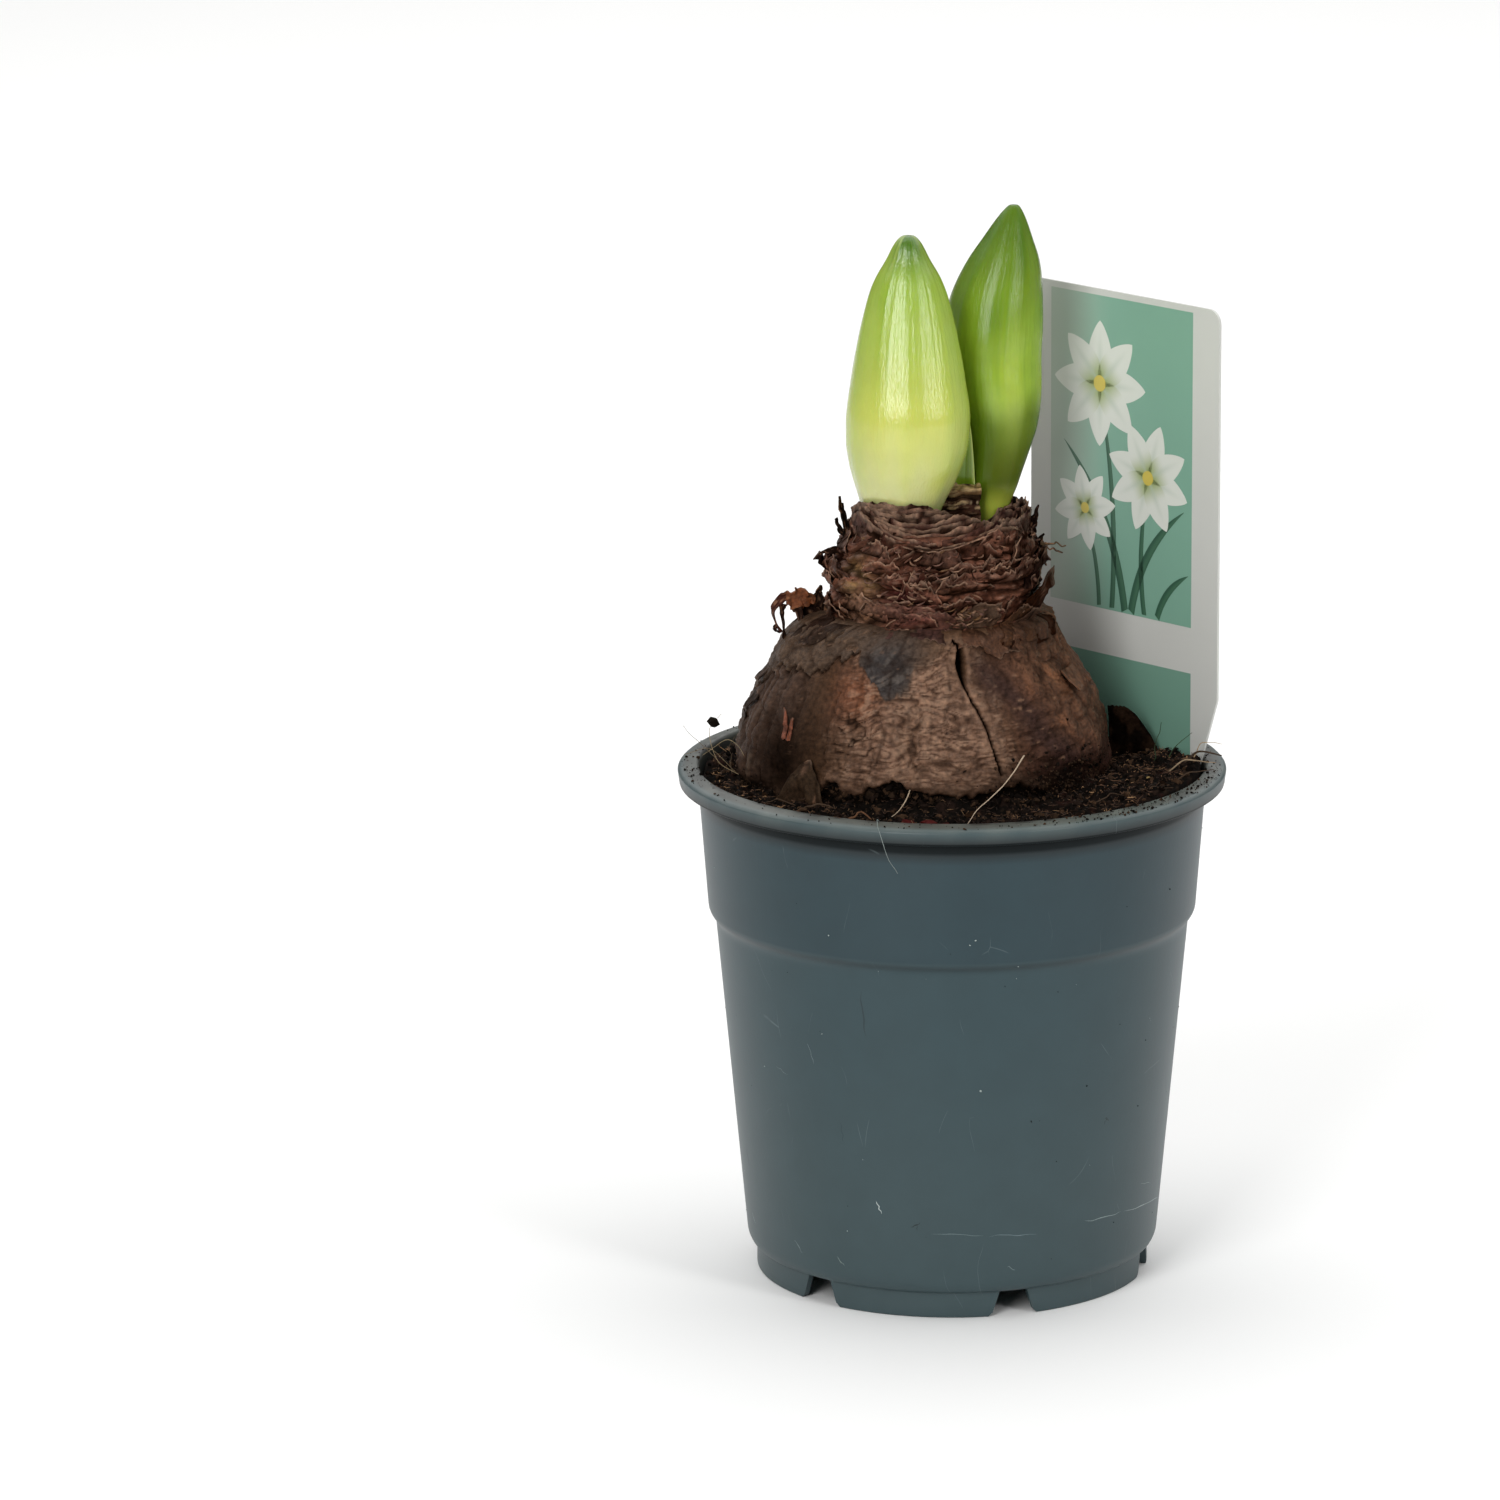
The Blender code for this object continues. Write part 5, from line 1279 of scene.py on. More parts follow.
# Loose flaps of skin, from the tall one at the right on: what flap takes, in its order
FLAPS = (
    (BODY_OUTSIDE, 60, 26, 30.2, 15.2, -0.2, 3.4, 0.18, 21, "#261208", 201, (0.25, 0.3, 4)),
    (BODY_OUTSIDE, 56, 16, 30.6, 7, -0.1, 1.6, 0.35, 8, "#3f2a1e", 211),
    (BODY_OUTSIDE, 140, 20, 30, 9.5, 0, 1.5, 0.3, -6, "#34231a", 221, (-0.2, 0.25, 3)),
    (BODY_OUTSIDE, -150, 17, 30.5, 6, 0, 1.6, 0.4, 5, "#3a281e", 226),
    (BODY_OUTSIDE, -66, 13, 30.5, 7.2, 0, 1.5, 0.25, -4, "#281a13", 231, (0.2, 0.3, 2.5)),
    (BODY_OUTSIDE, -88, 8, 30.8, 6.4, 0.2, 1.4, 0.2, 3, "#20150f", 236),
    (NECK_OUTSIDE, -88, 20, 42, 6, -0.2, 4.2, 0.15, -3, "#1f120e", 241, (-0.3, 0.2, 2)),
    (NECK_OUTSIDE, -64, 14, 43, 5, 0, 1.8, 0.3, -6, "#42291d", 246),
    (NECK_OUTSIDE, 84, 24, 41.5, 7.6, 0, 2.6, 0.4, 2, "#1f120e", 251, (0, 0.2, 2.5)),
    (NECK_OUTSIDE, 62, 18, 46, 6.2, 0.1, 1.2, 0.6, 0, "#42291d", 256),
    (NECK_OUTSIDE, 24, 15, 35, 5.6, 0.6, 1.8, 0.5, 6, "#493527", 261),
    (NECK_OUTSIDE, -2, 20, 34.6, 4.6, 0.4, 1.5, 0.6, -4, "#54342a", 266),
    (BODY_OUTSIDE, 46, 12, 31.4, 7.5, 0.2, 1.4, 0.4, 9, "#402818", 301),
    (BODY_OUTSIDE, 34, 13, 35, -5, 0.3, 0.9, 0.5, 5, "#4b3122", 306),
    (BODY_OUTSIDE, 23, 10, 35.1, -2.6, 0.3, 0.8, 0.6, -3, "#4b3122", 311),
    (BODY_OUTSIDE, 2, 10, 35.1, -1.6, 0.3, 0.5, 0.6, 2, "#47302a", 316),
    (BODY_OUTSIDE, -18, 14, 35.1, -1.6, 0.3, 0.5, 0.7, -4, "#472f29", 321),
    (BODY_OUTSIDE, -40, 14, 35, -3.6, 0.3, 0.9, 0.6, 3, "#453324", 326),
    (BODY_OUTSIDE, -60, 15, 34.6, -5, 0.3, 0.9, 0.5, -6, "#2e2119", 331),
    (BODY_OUTSIDE, -86, 6, 24, -4.2, 0.2, 1.6, 0.4, 3, "#33251c", 336, None, 12, 16),
    (BODY_OUTSIDE, -81, 5, 17.6, -3.6, 0.2, 1.5, 0.4, -2, "#2b2019", 341, None, 12, 16),
    (BODY_OUTSIDE, -88, 5, 9, 3.8, 0.2, 1.5, 0.4, 2, "#2b2019", 346, None, 12, 16),
    (BODY_OUTSIDE, 72, 8, 24, -4, 0.2, 0.9, 0.4, -3, "#5a3a26", 351, None, 12, 16),
    (BODY_OUTSIDE, -39, 9, -2, 10.4, 2.3, 0.9, 0.12, 2, "#34261a", 271),
    (BODY_OUTSIDE, -49.5, 1.1, 11.4, 6, 0.9, 1.6, 0.5, -2.5, "#6f3c27", 276, None, 14, 8),
    (BODY_OUTSIDE, -48.2, 1, 11.2, 5.2, 0.8, 1.5, 0.5, 1, "#7a442e", 281, None, 14, 8),
)


def flap(outside, angle, half, foot, tall, out_foot, out_tip, tip, skew, code, seed, notch=None, rows=20,
         columns=28):
    """One loose flap of skin: a sheet on the bulb's outline that narrows to its tip and stands off it.

    angle is its middle and half its half width, in degrees. It runs from the height foot by tall, and
    stands out_foot off the outline there and out_tip at its tip. The share tip of its width is left at
    the end, skew carries the end sideways, and notch, (place across, half width, depth), splits it.
    """
    up, across = (v[0] for v in band_grid(1, rows, columns))
    width = half * (1 - (1 - tip) * up**1.4)
    turn = np.radians(angle + across * width + skew * up**2)
    along = turn * SHOULDER_RADIUS
    ragged = (torn(seed, along, seed) - 1) * 1.3 * up
    ragged = ragged + 0.5 * noise(seed + 3, up * tall / 1.2) * np.abs(across)
    height = foot + tall * up + np.sign(tall) * ragged
    if notch:
        height = height - notch[2] * np.exp(-(((across - notch[0]) / notch[1]) ** 2)) * up**4
    wave = 0.5 * noise(seed + 4, along / 3, height / 4) + 0.2 * noise(seed + 5, along / 0.9, height / 1.1)
    out = out_foot + (out_tip - out_foot) * up**1.7 + wave
    points = on_bulb(outside, turn, np.clip(height, -30, 60), out)
    crease = folds(seed + 8, along / 1.6, height / 3.0)
    colours = toned(
        plain(code, height),
        "#231710", step(0.0, 0.8, noise(seed + 6, along / 2.5, height / 2.0)) * 0.55,
        "#74513c", step(0.45, 0.9, noise(seed + 7, along / 0.8, height / 3.0)) * 0.35,
        # painted shade in the creases
        "#150d09", step(0.45, 0, crease) * 0.6,
        "#80624d", step(0.93, 1.0, up) * 0.35,
    )
    if tall < 0:
        return grid(points[::-1], colours[::-1])
    return grid(points, colours)


def make_flaps():
    """The loose flaps of old skin, each as flap says."""
    return build("loose_skin", [flap(*row) for row in FLAPS], dry_scale, "bulb", thickness=0.25)


# Dry scraps, from the charred stub beside the front bud: what ribbon takes, in its order
SCRAPS = (
    (((-20.5, -2, 48), (-22.3, -2.2, 51.5), (-23.4, -2.2, 55), (-24.4, -2.2, 60.2)), (3.2, 2.2, 1.6, 0.9),
     (0.2, 1.4), "#17120f", 301),
    (((-20, -1.6, 47), (-22, -1.4, 51), (-23.2, -1.4, 54), (-24.2, -1.6, 59)), (2.8, 2, 1.5, 1),
     (1.5, 2.6), "#1b1410", 306),
    (((-22.2, -2.1, 50.6), (-24.2, -2.2, 53), (-25.4, -2.2, 55.6)), (1.6, 1.2, 0.8), (0, 1.2), "#1d1511",
     311),
    (((-36.2, -4.4, 38.2), (-34.6, -4.4, 38.3), (-32.4, -4.2, 38.4), (-29.6, -4, 37.2)), (3, 4.4, 4, 0.8),
     (0, 0.35), "#6a3a1e", 321),
    (((-35.4, -4, 38.8), (-37.4, -4.2, 37.4), (-38.7, -4.4, 35.4), (-38.2, -4.6, 33.2), (-37, -4.6, 31.2)),
     (2.2, 2, 1.6, 1.3, 1.2), (0.2, 1.6), "#3a1c14", 326),
    (((-36.8, -3.8, 37), (-36.6, -4, 34.6), (-36.4, -4.2, 31), (-35.2, -4, 28.2)), (1.8, 1.3, 2, 1.6),
     (0.3, 2), "#20130f", 331),
    (((-33.6, -3.6, 36.6), (-33, -3.8, 34.4), (-32.6, -4, 32), (-34, -4, 28.2)), (2.6, 1.8, 1.8, 2.4),
     (0.2, 1.3), "#271812", 336),
    (((-37.8, -4.4, 32.4), (-38.6, -4.4, 31.8), (-37.4, -4.4, 30.6)), (1, 1.1, 0.6), (0.4, 1), "#20130f",
     341),
    (((-31, -2.6, 34), (-29.8, -2.6, 36.8), (-28.6, -2.6, 41)), (4.4, 3, 0.5), (0.1, 0.4), "#1d120e", 346),
    (((-28.4, -2.4, 34), (-27.4, -2.4, 36.6), (-26.6, -2.4, 38.8)), (3.6, 2.4, 0.7), (-0.2, 0.3),
     "#24160f", 351),
    (((-26, -2.2, 33.6), (-25.6, -2.2, 35.6), (-24.8, -2.2, 37.4)), (2.4, 1.6, 0.4), (0.2, -0.4),
     "#2c1b13", 356),
    (((-23, -3, 48.6), (-25.8, -3, 48.8), (-28.6, -3, 47.6)), (2.6, 1.6, 0.3), (0.4, 0.9), "#1c110c", 361),
    (((-22.6, -2, 46.6), (-25, -2, 46.8), (-26.8, -2, 45)), (2.4, 1.4, 0.4), (0.1, 0.8), "#2b1a13", 366),
    (((-19, -3.4, 55), (-20.6, -3.6, 57), (-21.8, -3.6, 58.6)), (2.2, 1.6, 0.5), (0.3, 0.9), "#1f140f",
     371),
    (((17, -0.6, 52), (17.8, -0.6, 55.2), (19, -0.6, 58.2)), (2.6, 1.4, 0.3), (0.2, 0.8), "#1a100d", 376),
    (((17.6, -1, 47), (19, -1, 50.4), (20.2, -1, 52)), (3, 2.2, 0.5), (0.4, 1.2), "#150d0a", 381),
    (((17.6, -0.8, 43), (19.6, -0.8, 45.6), (20.6, -0.8, 44.8)), (2.6, 1.8, 0.4), (0.2, 1), "#170e0b", 386),
    (((19, -3, 50), (22, -3.5, 50.5), (24.8, -3.8, 49.6)), (0.7, 0.45, 0.2), (0.2, 1.8), "#54432f", 391),
    (((20, -3, 49.2), (22.6, -4, 49), (24, -4.2, 48)), (0.5, 0.4, 0.2), (0.8, 2.2), "#4a3b2c", 396),
)


def scrap_path(points, count):
    """A smooth line through a few points, read at even shares of its length."""
    points = np.array(points, dtype=float)
    far = far_along(points)
    share = np.linspace(0, far[-1], count)
    return np.stack([through(list(zip(far, points[:, axis])), share) for axis in range(3)], axis=-1)


def ribbon(line, widths, twist, code, seed, rows=30):
    """A dry twisted strip: a smooth line, and at each point a width that turns about it, edges torn.

    line is its (x, y, height) points, widths are read at even shares of its length, and twist is how
    far round the width is turned at its start and end.
    """
    path = scrap_path(line, rows)
    share = np.linspace(0, 1, rows)
    path = path + np.stack([noise(seed + k, share * 6) for k in (0, 1, 2)], axis=-1) * 0.3
    runs = unit(np.gradient(path, axis=0))
    one_side = unit(np.cross(runs, np.array([0.2, 0.97, 0.1])))
    other_side = np.cross(runs, one_side)
    turn = (twist[0] + (twist[1] - twist[0]) * share)[:, None]
    sideways = one_side * np.cos(turn) + other_side * np.sin(turn)
    half = through(list(zip(np.linspace(0, 1, len(widths)), widths)), share) / 2
    across = np.linspace(-1, 1, 9)
    ragged = 1 + 0.35 * noise(seed + 3, share[:, None] * 12, np.sign(across)[None])
    cupped = 0.25 * half[:, None] * across**2
    normal = np.cross(runs, sideways)
    points = (path[:, None] + sideways[:, None] * (half[:, None] * across * ragged)[..., None]
              + normal[:, None] * cupped[..., None])
    points[..., 2] += RIM
    colours = toned(
        plain(code, np.broadcast_to(share[:, None], (rows, 9))),
        "#150c08", step(0.1, 0.8, noise(seed + 4, share[:, None] * 7, across * 2)) * 0.6,
        "#b07a52", step(0.3, 0.9, noise(seed + 5, share[:, None] * 9, across * 3)) * 0.3,
    )
    return grid(points, colours)


def make_scraps():
    """The dry twisted scraps, each as ribbon says."""
    return build("dry_scraps", [ribbon(*row) for row in SCRAPS], dry_scale, "bulb", thickness=0.3)


def make_roots():
    """The fleshy roots under the bulb: rods through the peat.

    Their reach grows as a power of their length under 1 and their fall as one over 1, and their
    heading sways as a sine.
    """
    draw = np.random.default_rng(59)
    count = ROOTS
    turn = (np.arange(count) + 0.5) / count * math.tau
    reach, fall = draw.uniform(21, 27, count)[:, None], draw.uniform(36, 52, count)[:, None]
    share = np.linspace(0, 1, 24)[None]
    out = 7 + reach * share**0.7
    sway = turn[:, None] + 0.35 * np.sin(4.2 * share + np.arange(count)[:, None])
    x = BULB_LEAN[0][1] * (1 - share) + out * np.sin(sway)
    paths = joined(x, -out * np.cos(sway), RIM - 33 - fall * share**1.25)
    rods = tubes(paths, 1.7 - 0.8 * share, tone("#b09a78"), sides=10)
    return build("roots", [rods], fibre, "bulb", welded=True)


def bud_surface(outline, middle_x, middle_y, flattened, seed, colour, rows, columns):
    """A bud: its outline turned round a bending middle line, with fine lengthwise ribs on it.

    The ribs are a cosine of the angle and noise stretched lengthwise, and the rows crowd at both ends.
    """
    outline = np.array(outline, dtype=float)[::-1]
    far = far_along(outline)
    ease = far[-1] * (1 - np.cos(np.linspace(0, math.pi, rows))) / 2 * 0.5
    ease = ease + far[-1] * np.linspace(0, 1, rows) * 0.5
    height = through(list(zip(far, outline[:, 0])), ease)[:, None]
    radius = through(list(zip(far, outline[:, 1])), ease)[:, None]
    angle = all_round(columns)
    height, radius, angle = np.broadcast_arrays(height, radius, angle)
    swell = step(51, 66, height)
    across, away = np.sin(angle), -np.cos(angle)
    bend = 0.35 * noise(seed, across * 2, away * 2, height / 30)
    ribs = (0.25 * np.cos(54 * (angle + bend * 0.15))
            + 0.8 * noise(seed + 1, across * 11, away * 11, height / 22)
            + 0.7 * noise(seed + 3, across * 24, away * 24, height / 12))
    ribs = ribs * (0.25 + 0.75 * step(68, 90, height))
    broad = noise(seed + 2, across * 4, away * 4, height / 30)
    dapple = noise(seed + 4, across * 30, away * 30, height / 1.6)
    share = np.clip(radius / 8, 0, 1)
    grown = radius + (0.085 * ribs + 0.16 * broad + 0.016 * dapple) * share * swell
    flat = 1 - (1 - flattened) * swell
    x = through(middle_x, height) + grown * across
    y = through(middle_y, height) + grown * away * flat
    points = joined(x, y, height + RIM)
    return grid(points, colour(angle, height, ribs, broad), around=True)


def front_colour(angle, height, ribs, broad):
    """Green at the tip, yellow-green below it, and creamy white-green at the base."""
    side = step(0.55, 1.0, np.abs(np.sin(angle)))
    return toned(
        plain("#3f6606", height),
        "#86a22f", step(117.5, 108, height + 2 * broad),
        "#9bb045", step(110, 96, height + 3 * broad),
        "#adb950", step(98, 84, height + 3 * broad),
        "#bbc058", step(88, 76, height + 3 * broad),
        "#bcbf76", step(78, 62, height + 5 * broad),
        "#bbbb80", step(68, 58, height + 3 * broad) * 0.8,
        "#7d9e33", step(0.3, 1.0, ribs) * step(80, 96, height) * 0.40,
        "#a9b84e", step(0.1, 0.9, broad) * step(62, 72, height) * 0.5,
        # flanks greener and darker: painted shade on the bud's sides
        "#8fa63a", side * step(58, 70, height) * 0.55,
        "#8fa73a", step(60.8, 58.0, height) * 0.5,
    )


def rear_colour(angle, height, ribs, broad):
    """Deep green at the tip, yellower on the belly, and olive towards the stem."""
    turn = np.degrees(angle)
    return toned(
        plain("#506c18", height),
        "#6a861c", step(118, 104, height + 3 * broad),
        "#86a224", step(104, 88, height + 4 * broad),
        "#566b0a", step(83, 75, height + 2 * broad),
        "#4a560a", step(76, 66, height),
        "#a9b344", step(63, 57, height) * 0.85,
        "#547010", bell(turn, -28, 20) * step(104, 84, height) * 0.7,
        "#9db02c", bell(turn, 22, 16) * bell(height, 83, 9) * 0.6,
        "#46691e", step(0.1, 0.9, broad) * step(92, 104, height) * 0.5,
        "#5c8226", step(0.3, 1.0, ribs) * 0.25,
    )


def make_buds():
    """Both buds, the front one a little flatter."""
    front = bud_surface(FRONT_BUD, FRONT_BUD_X, FRONT_BUD_Y, 0.93, 401, front_colour, 160, 180)
    rear = bud_surface(REAR_BUD, REAR_BUD_X, REAR_BUD_Y, 0.95, 411, rear_colour, 140, 150)
    build("front_bud", [front], spathe, "bud_front", welded=True)
    build("rear_bud", [rear], young_spathe, "bud_rear", welded=True)


def make_leaf():
    """A blade: its half width shrinks to the tip as a root curve, hollow in front with a raised midrib."""
    up, across = np.meshgrid(np.linspace(0, 1, 60), np.linspace(-1, 1, 17), indexing="ij")
    half = LEAF_WIDTH / 2 * (0.09 + 0.91 * (1 - up**2) ** 0.75)
    x = LEAF_FOOT[0] + 0.9 * up**2 + half * across
    y = LEAF_FOOT[1] - 0.8 * up**2 - 0.4 * across**2 * (1 - up) + 0.12 * bell(across, 0, 0.2)
    height = LEAF_END + (LEAF_TIP - LEAF_END) * up
    points = joined(x, y, height + RIM)
    colours = toned(
        plain("#6f8c1c", up),
        "#86a22e", step(0.5, 1, up),
        "#b9c96a", step(0.6, 1.0, across) * 0.7,
        "#62801f", step(0.0, 0.9, noise(421, across * 6, up * 1.5)) * 0.5,
    )
    return build("leaf_tip", [grid(points, colours)], young_spathe, "leaf", thickness=0.8)


def on_card(along, up, proud=0.0):
    """A place on the label: along the card, up it, and proud of its middle plane towards the viewer."""
    proud = np.broadcast_to(proud, np.shape(along))
    flat = np.array([*LABEL_FOOT, 0.0]) + along[..., None] * CARD_ALONG + proud[..., None] * CARD_FACE
    flat[..., 2] = up + RIM
    return flat


def card_halves(up):
    """Right and left edge of the card at each height: tapered foot, straight sides, round top corners."""
    middle = (LABEL_RIGHT + LABEL_LEFT) / 2
    share = np.clip((up - LABEL_POINT) / (LABEL_TAPER - LABEL_POINT), 0, 1)
    half = LABEL_POINT_WIDTH / 2 + ((LABEL_LEFT - LABEL_RIGHT) / 2 - LABEL_POINT_WIDTH / 2) * share
    into = np.clip((up - LABEL_TOP + LABEL_CORNER) / LABEL_CORNER, 0, 1)
    half = half - LABEL_CORNER * (1 - np.sqrt(1 - into**2))
    return middle - half, middle + half


def make_card():
    """The card as a closed slab: front and back sheets between its two edges, joined round the rim."""
    corner = LABEL_TOP - LABEL_CORNER * (1 - np.sin(np.linspace(0, math.pi / 2, 9)))
    up = np.concatenate([np.linspace(LABEL_POINT, LABEL_TAPER, 20),
                         np.linspace(LABEL_TAPER + 3, 97, 30), corner])
    right, left = card_halves(up)
    share = np.linspace(0, 1, 13)
    along = right[:, None] + (left - right)[:, None] * share
    height = np.broadcast_to(up[:, None], along.shape)
    half = LABEL_THICKNESS / 2
    front = on_card(along, height, half)
    back = on_card(along, height, -half)
    loop = np.concatenate([front[:, ::-1], back[:, :]], axis=1)
    ends = [np.stack([back[0], front[0]]), np.stack([front[-1], back[-1]])]
    # the card's light grey is painted shade: the white card darkened for facing away from the lights
    colours = tone("#c2c3be")
    patches = [grid(loop, colours, around=True)] + [grid(end[:, ::-1], colours) for end in ends]
    return build("label_card", patches, card, "label", welded=True, sharp=40)


def ink(outline_along, outline_up, layer, colours):
    """A printed shape: a thin closed slab on the card's face, a strip between two edges (row, side)."""
    proud = LABEL_THICKNESS / 2 + 0.012 * (layer + 1)
    top = on_card(outline_along, outline_up, proud)
    under = on_card(outline_along, outline_up, LABEL_THICKNESS / 2 - 0.05)
    loop = np.concatenate([top[:, ::-1], under], axis=1)
    shades = np.concatenate([colours[:, ::-1], colours], axis=1)
    loop = np.concatenate([pole(loop[0]), loop, pole(loop[-1])])
    shades = np.concatenate([shades[:1], shades, shades[-1:]])
    return grid(loop, shades, around=True)


def printed_panel(low_along, high_along, low_up, high_up, layer, first, second):
    """A rectangle of ink that fades from one colour at its left side to another in the middle."""
    share = np.linspace(0, 1, 15)
    up, along = np.meshgrid(np.linspace(low_up, high_up, 24), low_along + (high_along - low_along) * share,
                            indexing="ij")
    fade = step(1.0, 0.55, np.broadcast_to(share, up.shape))
    return ink(along, up, layer, toned(plain(first, up), second, fade))


def printed_petal(along, up, turn, length, width, layer, base, tip):
    """A pointed oval: half width follows a sine bulge along it, and the colour fades to its tip."""
    share = np.linspace(0.001, 0.999, 22)[:, None]
    side = np.linspace(-1, 1, 7)[None]
    bulge = np.sin(math.pi * share**0.8) ** 0.75 * width / 2
    across = side * bulge + 0 * share
    out = share * length + 0 * side
    x = along + out * math.cos(turn) - across * math.sin(turn)
    y = up + out * math.sin(turn) + across * math.cos(turn)
    colours = toned(plain(base, x), tip, step(0.05, 0.5, out / length))
    colours = toned(colours, "#a9b6a8", bell(side, 0, 0.18) * step(0.95, 0.3, share) * 0.5)
    return ink(x, y, layer, colours)


def printed_stalk(start, end, bend, width, layer, code):
    """A strap leaf or stalk: a strip along a parabola, pointed at its far end."""
    share = np.linspace(0, 1, 26)[:, None]
    side = np.linspace(-1, 1, 5)[None]
    run = np.array(end, dtype=float) - np.array(start, dtype=float)
    away = np.array([-run[1], run[0]]) / np.hypot(*run)
    swing = bend * 4 * share * (1 - share)
    half = width / 2 * (1 - share**4 * 0.95)
    x = start[0] + run[0] * share + away[0] * (swing + side * half)
    y = start[1] + run[1] * share + away[1] * (swing + side * half)
    colours = toned(plain(code, x), "#4f7a5c", bell(side + 0 * share, 0.3, 0.4) * 0.5)
    return ink(x, y, layer, colours)


# The print: panels (right, left, foot, top, layer and two colours), stalks and strap leaves (start, end,
# bend, width) and blossoms (middle along and up, reach)
PANELS = ((0.6, 44.2, 29.6, 99.6, 0, "#a3b0a3", "#76a08d"), (0.6, 44.2, 0, 19.4, 0, "#6d9483", "#6d9483"))
STALKS = (
    ((25, 30.2), (29, 78), 2, 1.5), ((15, 30.2), (14, 59), -1.5, 1.4), ((29, 30.2), (33.4, 50), 1, 1.2),
    ((21, 30.2), (40, 66), 3.5, 2.2), ((19, 30.2), (3, 55), -3, 2.2), ((11, 30.2), (1.6, 41), -1.5, 1.8),
)
BLOSSOMS = ((29, 80, 14), (14, 61, 12.5), (33.4, 51.5, 9.5))
PETALS = 8


def make_print():
    """A plain generic print: star blossoms on strap leaves over a mint panel, and a plain panel below.

    The petals of a blossom stand at even angles, every second one a layer higher, round a half-turned disc.
    """
    patches = [printed_panel(*panel) for panel in PANELS]
    patches += [printed_stalk(*stalk, 1, "#2c5240") for stalk in STALKS]
    for number, (along, up, size) in enumerate(BLOSSOMS):
        for petal in range(PETALS):
            turn = petal / PETALS * math.tau + 0.3 * number
            layer = 2 + 2 * number + petal % 2
            patches.append(printed_petal(along, up, turn, size, size * 0.52, layer, "#8c9c5c", "#cfd2ca"))
        half_turn = np.linspace(0, math.pi, 13)[:, None]
        reach = size * 0.13
        x = along + reach * np.cos(half_turn) + 0 * np.linspace(-1, 1, 5)
        y = up + reach * np.sin(half_turn) * np.linspace(1, -1, 5)
        patches.append(ink(x, y, 9, plain("#c2b04e", x)))
    return build("label_print", patches, card, "label", welded=True, sharp=40)


def make_buried_scale():
    """The dry scale in the soil by the card: a sheet bent round an upright axis, crumpled and torn."""
    up, across = (v[0] for v in band_grid(1, 26, 34))
    width = 6 * (1 - 0.65 * up**1.6)
    turn = np.radians(across * width - 4 * up**2)
    along = turn * 60
    height = -5.0 + 16.8 * up * (0.96 + 0.06 * (torn(431, along, 3.3) - 1) * up)
    reach = 60.0 + 0.6 * noise(434, along / 3.0, height / 3.0) + 0.2 * noise(435, along / 1.0, height / 1.0)
    points = turned(reach, turn, height + RIM, (40.5, 68.5))
    # near black: the dark skin darkened further with painted shade
    colours = toned(plain("#0b0705", up), "#21160f", step(0.1, 0.8, noise(436, along / 1.5, height / 2.0)))
    return build("soil_scale", [grid(points, colours)], dry_scale, "soil", thickness=0.5)


# Loose rootlets: each one's (x, y, height) points, radius and colour
LOOSE_ROOTS = (
    (((-8.2, -37.8, 6.6), (-9.4, -39.2, 3.2), (-11.8, -41.6, -0.6), (-13.6, -44, -1.6)), 0.15, "#a8957e"),
    (((15.8, -36, 10.6), (12.4, -38.8, 6.6), (8.4, -42.8, 3.4), (5.2, -46.8, 1.2), (3, -49.8, -0.8)), 0.15,
     "#b09c86"),
    (((-14.6, -51, -0.6), (-15.6, -55.4, 1.3), (-15.4, -59.4, 0.6), (-14.2, -59.8, -3.4),
      (-11.8, -58.4, -9.4)), 0.09, "#7d8683"),
    (((-46, -8, -0.6), (-51.5, -9, 3.4), (-53, -7, 9.6), (-50, -6, 13)), 0.10, "#8c7a5e"),
    (((-47, -4, -0.6), (-54, -4, 4.8), (-58.5, -4, 3.2)), 0.09, "#77674f"),
    (((-44, -10, -0.6), (-45.5, -12, 6), (-49, -12, 8.4), (-54, -12, 5)), 0.08, "#9a8868"),
    (((-50, 2, -0.6), (-56.5, 2, 5.6), (-59, 2, 8.6)), 0.08, "#6f6049"),
    (((-48, -6, -0.6), (-48.4, -7, 5), (-46.6, -8, 9)), 0.09, "#57493a"),
    (((47, -20, 0.6), (52.5, -17, 2.6), (56.8, -14, 2.2)), 0.20, "#3b2b1d"),
    (((46, -12, 0.8), (51, -12, 4), (57, -13, 3.2)), 0.20, "#8a765e"),
    (((50, -6, 1.2), (54, -7, 4.6), (58.5, -8, 4)), 0.30, "#3a2c20"),
    (((52, -2, 1.2), (55.6, -2, 5.6), (59.2, -3, 5.2)), 0.14, "#9a8568"),
    (((44, -4, 1), (44.6, -3, 6.5), (45.6, -2, 9.8)), 0.14, "#26331f"),
    (((46.6, -2, 1), (49.6, -2, 5.4), (52.4, -1, 7.2)), 0.13, "#2b3a22"),
    (((38, -26, 0), (43, -27, 1.6), (47.5, -25, 0.8)), 0.20, "#3b2b1d"),
    (((-33, -37, -0.9), (-29, -39, 0.8), (-25, -40, 0.2)), 0.30, "#3b2b1d"),
    (((-40, -30, -0.9), (-37, -33, 0.8), (-33.6, -36, -0.2)), 0.18, "#3b2b1d"),
    (((30, -33, -0.6), (34, -31, 0.9), (37.5, -29, 0.4)), 0.18, "#3b2b1d"),
    (((-22, -45.5, -0.8), (-19.5, -45, 0.6), (-17, -47, -0.4)), 0.26, "#5a3c26"),
)


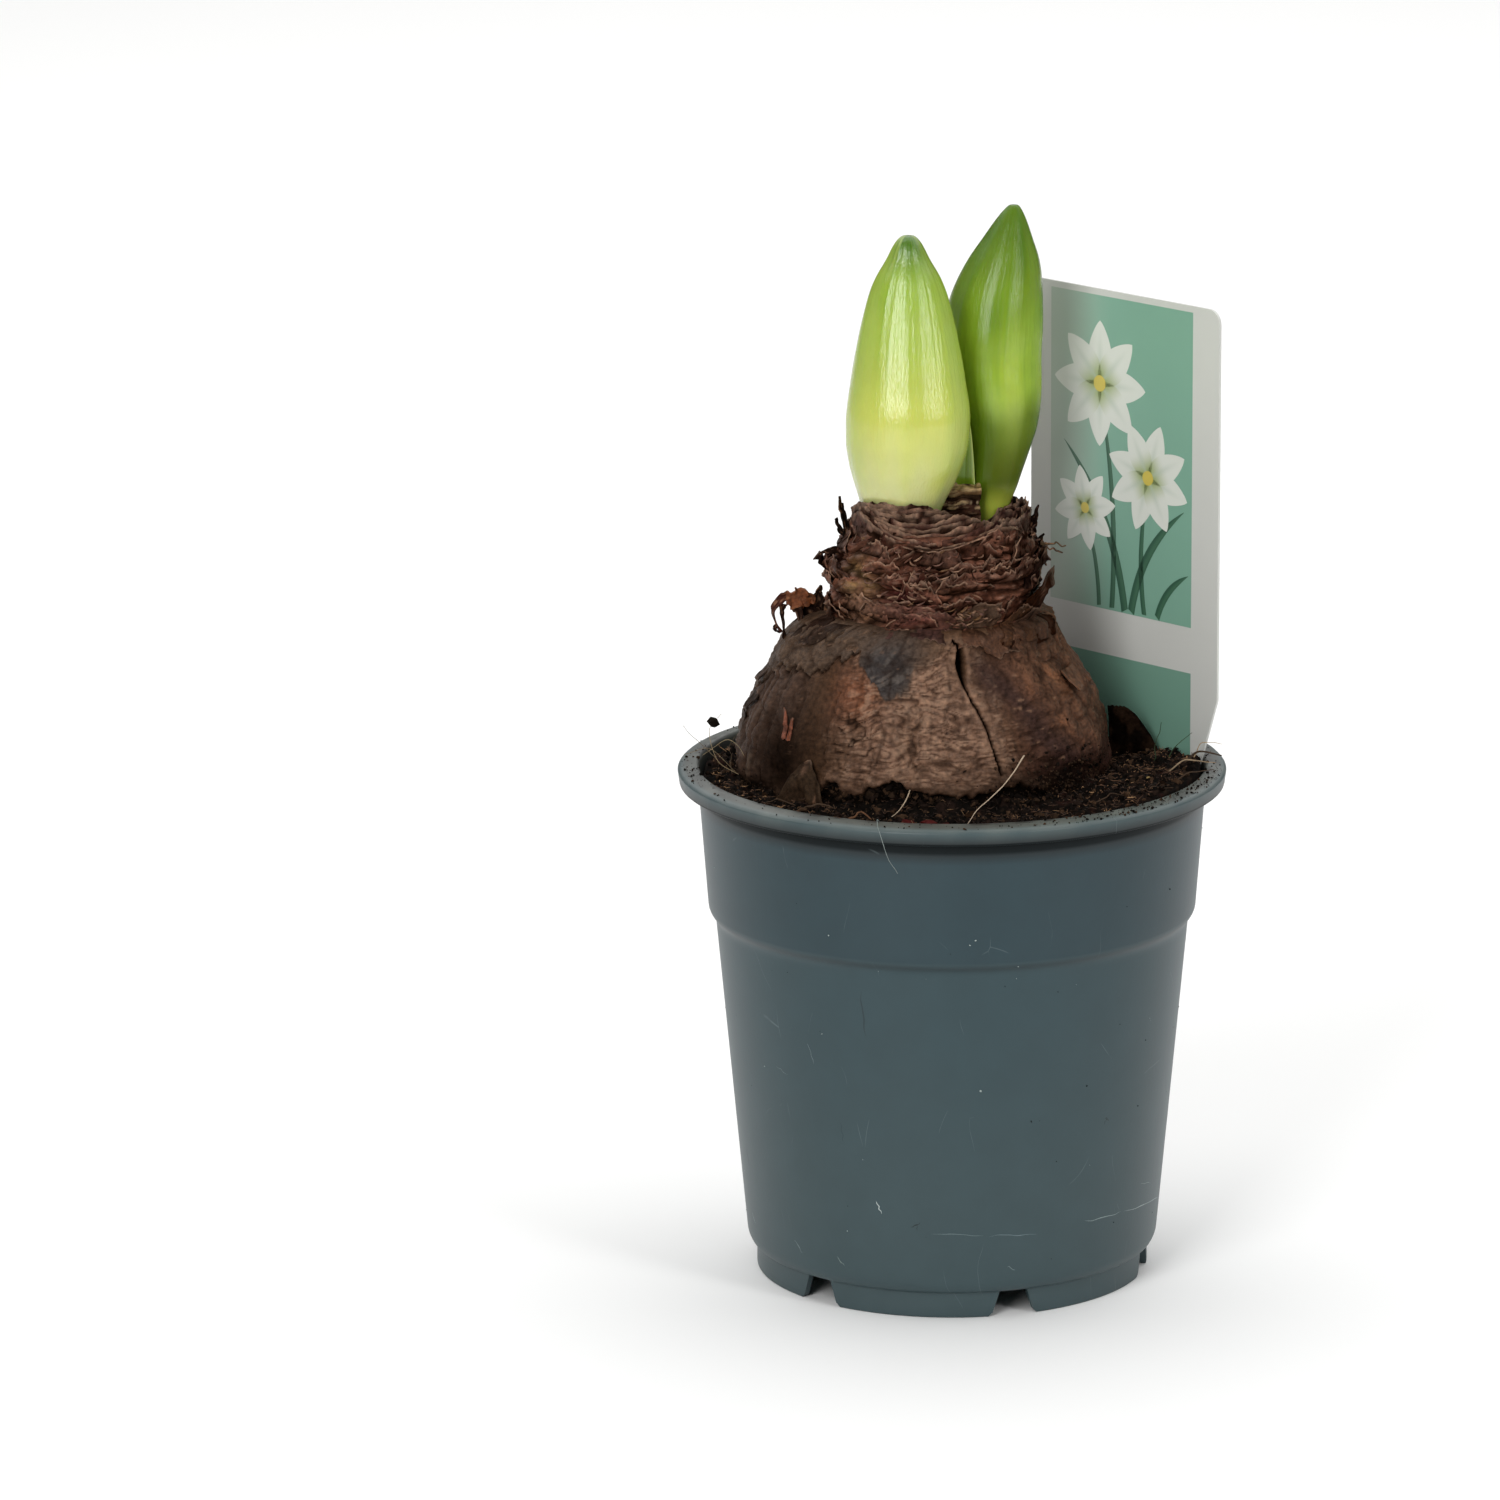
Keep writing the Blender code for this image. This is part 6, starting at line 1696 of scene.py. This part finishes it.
def make_loose_roots():
    """Pale root hairs in front, hairs at the left rim and straws at the right: smooth lines with noise."""
    patches = []
    for number, (line, radius, code) in enumerate(LOOSE_ROOTS):
        path = scrap_path(line, 22)
        share = np.linspace(0, 1, len(path))
        wander = np.stack([noise(441 + number + k, share * 5) for k in (0, 30, 60)], axis=-1)
        path = path + wander * 0.35 + (0, 0, RIM)
        radii = radius * (1 - 0.55 * share) * (1 + 0.2 * noise(501 + number, share * 9))
        patches.append(tubes(path[None], radii[None], plain(code, share)[None], sides=6))
    return build("loose_roots", patches, fibre, "soil", welded=True)


def placed(name, data, place):
    """A camera or light at a place."""
    made = bpy.data.objects.new(name, data)
    bpy.context.scene.collection.objects.link(made)
    made.location = place
    return made


def make_studio():
    """A white floor in a dim room, lit from close above behind the pot, with tall soft boxes in front."""
    bpy.ops.mesh.primitive_plane_add(size=12.0, location=(0.0, 1.0, 0.0))
    floor = bpy.context.object
    floor.name = "floor"
    pale = bpy.data.materials.new("pale_floor")
    pale.use_nodes = True
    shader_of(pale).inputs["Base Color"].default_value = (*tone("#f4f4f3"), 1)
    shader_of(pale).inputs["Roughness"].default_value = 0.8
    floor.data.materials.append(pale)
    world = bpy.data.worlds.new("studio")
    world.use_nodes = True
    world.node_tree.nodes["Background"].inputs["Color"].default_value = (1.0, 1.0, 1.0, 1.0)
    world.node_tree.nodes["Background"].inputs["Strength"].default_value = ROOM_LIGHT
    bpy.context.scene.world = world
    for name, place, target, width, height, power in LIGHTS:
        lamp = placed(name, bpy.data.lights.new(name, "AREA"), place)
        lamp.rotation_euler = (Vector(target) - Vector(place)).to_track_quat("-Z", "Y").to_euler()
        lamp.data.shape = "RECTANGLE"
        lamp.data.size, lamp.data.size_y = width, height
        lamp.data.energy = power


def make_camera():
    """The photograph's view: from far off and a little above, its frame shifted to put the pot right."""
    camera = placed("camera", bpy.data.cameras.new("camera"), CAMERA_PLACE)
    camera.rotation_euler = (math.pi / 2 - CAMERA_DOWN, 0.0, 0.0)
    camera.data.sensor_width = 36.0
    camera.data.lens = CAMERA_LENS
    camera.data.shift_x, camera.data.shift_y = CAMERA_SHIFT
    bpy.context.scene.camera = camera
    bpy.context.scene.view_settings.view_transform = "Standard"


for make in (make_pot, make_pot_marks, make_soil, make_crumbs, make_bark, make_fibres, make_buried_scale,
             make_loose_roots, make_bulb_body, make_bulb_neck, make_neck_scales, make_collars, make_strip,
             make_flaps, make_scraps, make_roots, make_buds, make_leaf, make_card, make_print, make_studio,
             make_camera):
    make()

bpy.context.view_layer.update()
